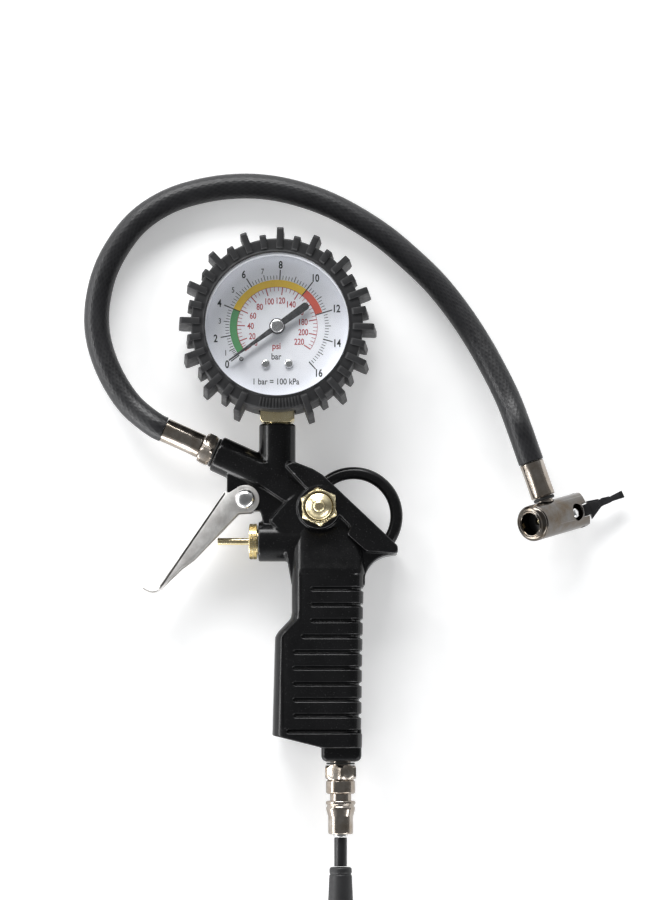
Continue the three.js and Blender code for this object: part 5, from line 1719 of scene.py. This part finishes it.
@dataclass
class Gauge:
    """The dial gauge: case, bezel, lens, dial, pointer, screws and socket."""

    centre: Pair
    case: float = 31.6
    wall: float = 1.1
    zero: float = 215.5
    cap: float = 2.75
    screw_turns: Pair = (25.0, -35.0)

    @property
    def home(self) -> Matrix:
        """The frame of the gauge's middle, at the height of the back."""
        return Matrix.Translation((*self.centre, 0))

    def build(self) -> None:
        """Make the gauge from its back to its lens."""
        back, front = box_mm("gauge_case")[0].z, box_mm("gauge_case")[1].z
        lens_low, lens_high = box_mm("gauge_lens")[0].z, box_mm("gauge_lens")[1].z
        inside = self.case - self.wall
        cup = [(0, back), (self.case, back), (self.case, front), (inside, front), (inside, back + self.wall),
               (0, back + self.wall)]
        way = block(-7.3, 7.3, -self.case - 1, -self.case + 5, 5.7, 20.3)
        shell = drilled(mesh_of("cup", [turned(softened(cup, 0.6), 160)]), [way])
        shell.transform(self.home)
        finish_piece("gauge_can", [shell], Look.CASE, "gun", ["gauge_case"], 40)
        grip = inside - 0.3
        retainer = ring(grip - 0.7, grip, lens_high + 0.3, front - 0.2, 0.2, 160)
        solid_piece("lens_ring", [retainer], Look.CASE, "gauge_bezel", self.home)
        low, high = (corner.z for corner in box_mm("dial_spacer"))
        rim = ring(grip - 1.1, grip, low, high, 0.15, 160)
        solid_piece("dial_rim", [rim], Look.DIAL, "dial_spacer", self.home)
        pane = [(0, lens_low), (grip, lens_low), (grip, lens_high - 0.5), (grip - 2.5, lens_high - 0.1),
                (0, lens_high)]
        solid_piece("clear_lens", [turned(softened(pane, 0.4), 160)], Look.GLASS, "gauge_lens", self.home)
        Dial(self.centre, box_mm("dial_plate")[1].z).build()
        Boot(self.centre, box_mm("gauge_boot")[1].z - 0.8).build()
        self.hands()
        self.socket()

    def hands(self) -> None:
        """The pointer, its cap, the stop and the dial screws."""
        low = box_mm("pointer")[0].z + 0.8
        outline = [
            *arc(-14.0, 0, 1.6, 270, 90, 12), (-4, 1.35), (0, 1.2), (24.1, 0.24), (24.3, 0.0), (24.1, -0.24),
            (0, -1.2), (-4, -1.35),
        ]
        needle = eased(mesh_of("needle", [slab(outline, low, low + 0.6)]), 0.12, 2)
        needle.transform(self.home @ Matrix.Rotation(self.zero * DEG, 4, "Z"))
        hub = mesh_of("hub", [ring(1.0, 3.2, low - 0.8, low + 0.9, 0.25).placed(self.home)])
        finish_piece("black_pointer", [needle, hub], Look.NEEDLE, "needle", ["pointer"])
        base = box_mm("pointer_cap")[0].z
        dome = [
            (0, base), (self.cap, base), (self.cap, base + 0.3), (2.6, base + 0.55), (2.2, base + 0.78),
            (1.6, base + 0.96), (0.9, base + 1.08), (0, base + 1.12),
        ]
        cap = turned(softened(dome, 0.15), 72)
        solid_piece("hub_cap", [cap], Look.RIVET, "pointer_cap", self.home, "needle")
        low, high = box_mm("pointer_stop")
        pin = bar(0.6, low.z, high.z, 0.2, 32).shifted((low.x + high.x) / 2, (low.y + high.y) / 2)
        solid_piece("zero_stop", [pin], Look.RIVET, "pointer_stop")
        for number, turn in enumerate(self.screw_turns, 1):
            self.screw(number, turn)

    def screw(self, number: int, turn: float) -> None:
        """One slotted dial screw, its slot turned by an angle in degrees."""
        node = f"dial_screw_{number}"
        low, high = box_mm(node)
        head = high.z
        dome = [
            (0, head - 1.0), (1.8, head - 1.0), (1.8, head - 0.75), (1.6, head - 0.4), (1.1, head - 0.12),
            (0, head),
        ]
        slot = block(-3, 3, -0.2, 0.2, head - 0.5, head + 1)
        body = drilled(mesh_of("screw", [turned(softened(dome, 0.12), 64)]), [slot])
        shank = mesh_of("shank", [bar(0.9, low.z, head - 0.9, 0.1, 32)])
        whole = fused("screw", [body, shank])
        place = Matrix.Translation(((low.x + high.x) / 2, (low.y + high.y) / 2, 0))
        whole.transform(place @ Matrix.Rotation(turn * DEG, 4, "Z"))
        finish_piece(f"face_screw_{number}", [whole], Look.RIVET, "gun", [node])

    def socket(self) -> None:
        """The brass socket with its spanner flats, its thread and the block inside the case."""
        low, high = box_mm("gauge_socket")
        mid = 13.0
        half = 7.0
        top = self.centre[1] - self.case - 0.6 + 4.6
        base = low.y + 11
        nut = [(-half, base + 1.2), (-half + 1.5, base), (half - 1.5, base), (half, base + 1.2), (half, top),
               (-half, top)]
        cube = eased(mesh_of("nut", [slab(nut, mid - half, mid + half).shifted(self.centre[0])]), 0.35, 3)
        thread = bar(4.9, low.y, base + 1, 0.4).placed(aim((self.centre[0], 0, mid), (0, 1, 0)))
        inside = block(-5.4, 5.4, top - 1, high.y, mid - 3.6, mid + 3.6).shifted(self.centre[0])
        rest = mesh_of("rest", [thread, inside])
        finish_piece("gauge_shank", [cube, rest], Look.BRASS, "gun", ["gauge_socket"])


# ---------------------------------------------------------------- inside pieces and the studio


INSIDE = {
    Look.BRASS: ("valve_seat", "pinion_shaft", "sector_gear", "movement_back_plate", "movement_front_plate",
                 "hairspring", "bourdon_tube"),
    Look.RIVET: ("sector_arbor", "tip_link"),
    Look.SEAL: ("valve_poppet", "deflate_seal"),
}


def dress_inside() -> None:
    """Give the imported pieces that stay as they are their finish."""
    for look, names in INSIDE.items():
        for name in names:
            node = frame["nodes"][name]
            node.data.materials.clear()
            node.data.materials.append(look.paint())
            log.info("%s: dressed as %s", name, look.slot)


@dataclass
class Spring:
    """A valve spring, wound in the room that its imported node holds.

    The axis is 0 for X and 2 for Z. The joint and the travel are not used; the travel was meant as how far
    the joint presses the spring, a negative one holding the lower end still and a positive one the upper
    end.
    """

    name: str
    node: str
    axis: int
    radius: float
    wire: float
    turns: float
    joint: str
    travel: float

    def build(self) -> None:
        """Wind the spring in its place."""
        low, high = box_mm(self.node)
        length = high[self.axis] - low[self.axis]
        start = (low + high) / 2
        start[self.axis] = low[self.axis] + self.wire
        mesh = with_tree(mesh_of("seed", []), coil_tree(), Radius=self.radius, Turns=self.turns,
                         Height=length - 2 * self.wire, Wire=self.wire, Finish=Look.SPRING.paint())
        direction = tuple(1.0 if i == self.axis else 0.0 for i in range(3))
        mesh.transform(aim(start, direction, (0, 1, 0)))
        spring = finish_piece(self.name, [mesh], Look.SPRING, "gun", [self.node])
        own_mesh(spring)


@dataclass
class Studio:
    """A pale table, soft lamps and the camera above the inflator."""

    target: Triple = (4.1, 82.0, 13.0)
    distance: float = 1400.0
    elevation: float = 85.0
    scale: float = 0.41
    tall: int = 900

    def camera(self) -> None:
        """Aim the camera, almost straight down, at the middle of the view."""
        data = bpy.data.cameras.new("camera")
        data.sensor_fit = "VERTICAL"
        data.sensor_height = 36.0
        half = self.scale * self.tall / 2
        data.lens = data.sensor_height / 2 * self.distance / half
        data.sensor_width = 36.0
        data.clip_start, data.clip_end = 0.05, 20.0
        camera = bpy.data.objects.new("camera", data)
        bpy.context.scene.collection.objects.link(camera)
        rise = self.elevation * DEG
        back = Vector((0, -math.cos(rise), math.sin(rise)))
        camera.location = (Vector(self.target) + back * self.distance) * MM
        camera.rotation_euler = ((90 - self.elevation) * DEG, 0, 0)
        bpy.context.scene.camera = camera

    def lamp(self, name: str, where: Triple, size: Pair, power: float) -> None:
        """Hang one soft lamp, in metres, that looks at the inflator."""
        data = bpy.data.lights.new(name, "AREA")
        data.shape = "RECTANGLE"
        data.size, data.size_y = size
        data.energy = power
        lamp = bpy.data.objects.new(name, data)
        bpy.context.scene.collection.objects.link(lamp)
        lamp.location = where
        aim_at = Vector(self.target) * MM - Vector(where)
        lamp.rotation_euler = aim_at.to_track_quat("-Z", "Y").to_euler()

    def floor(self) -> None:
        """Lay the pale table under everything."""
        low = min(CAD_BOX[0].z, 0.0) / MM - 0.05
        mesh = mesh_of("floor", [block(-4000, 4000, -4000, 4000, low - 10, low)])
        mesh.transform(Matrix.Scale(MM, 4))
        table = bpy.data.objects.new("table", mesh)
        bpy.context.scene.collection.objects.link(table)
        paper = Enamel("table_paper", (0.93, 0.93, 0.93), (0.7, 0.8)).material()
        shader = paper.node_tree.nodes["Principled BSDF"]
        shader.inputs["Emission Color"].default_value = (1.0, 1.0, 1.0, 1)
        shader.inputs["Emission Strength"].default_value = 0.3
        mesh.materials.append(paper)

    def sky(self, horizon: float, top: float, side: float) -> None:
        """Light the scene from all round, brightest at the horizon, dim overhead and shaded on the right."""
        world = bpy.data.worlds.new("sky")
        world.use_nodes = True
        tree = world.node_tree
        place = tree.nodes.new("ShaderNodeTexCoord")
        split = tree.nodes.new("ShaderNodeSeparateXYZ")
        fades = []
        for numbers in ((0.1, 0.8, horizon, top), (0.5, 0.95, 1.0, side)):
            fade = tree.nodes.new("ShaderNodeMapRange")
            fade.interpolation_type = "SMOOTHSTEP"
            for key, number in zip((1, 2, 3, 4), numbers):
                fade.inputs[key].default_value = number
            fades.append(fade)
        height, across = fades
        both = tree.nodes.new("ShaderNodeMath")
        both.operation = "MULTIPLY"
        light = tree.nodes["Background"]
        light.inputs["Color"].default_value = (0.96, 0.98, 1.0, 1)
        wired(tree, [
            (place, "Generated", split, 0),
            (split, "Z", height, 0),
            (split, "X", across, 0),
            (height, 0, both, 0),
            (across, 0, both, 1),
            (both, 0, light, "Strength"),
        ])
        bpy.context.scene.world = world

    def build(self) -> None:
        """Set up the table, the lamps, the sky and the camera."""
        self.camera()
        self.floor()
        self.sky(1.15, 0.2, 0.25)
        self.lamp("key", (-0.25, 1.35, 0.75), (1.3, 0.4), 21.0)
        self.lamp("left", (-1.5, 0.3, 0.6), (1.4, 0.35), 14.0)
        self.lamp("right", (1.0, -1.1, 0.6), (1.4, 0.35), 10.0)
        self.lamp("low", (-0.95, -1.05, 0.2), (1.5, 0.3), 17.0)
        bpy.context.scene.view_settings.view_transform = "Standard"


def main() -> None:
    """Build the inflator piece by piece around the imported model."""
    logging.basicConfig(level=logging.INFO, format="%(message)s")
    Studio().build()
    low, high = box_mm("body_casting")
    mid = (low.z + high.z) / 2
    casting = Casting(mid=mid, grip_half=(high.z - low.z) / 2)
    chuck = Chuck.found(frame["joints"])
    chuck.build()
    HoseLine(casting, chuck).build()
    casting.build()
    Hanger(mid, casting.slope).build()
    Trigger(casting).build()
    FillValve(casting).build()
    DeflateValve(casting).build()
    Inlet(casting).build()
    dial_low, dial_high = box_mm("gauge_lens")
    Gauge(((dial_low.x + dial_high.x) / 2, (dial_low.y + dial_high.y) / 2)).build()
    Spring("fill_spring", "valve_spring", 0, 3.0, 0.4, 4, "pin_slide", 4.3).build()
    Spring("bleed_spring", "deflate_spring", 2, 2.6, 0.35, 3, "deflate_press", -1.7).build()
    dress_inside()


if __name__ == "__main__":
    main()
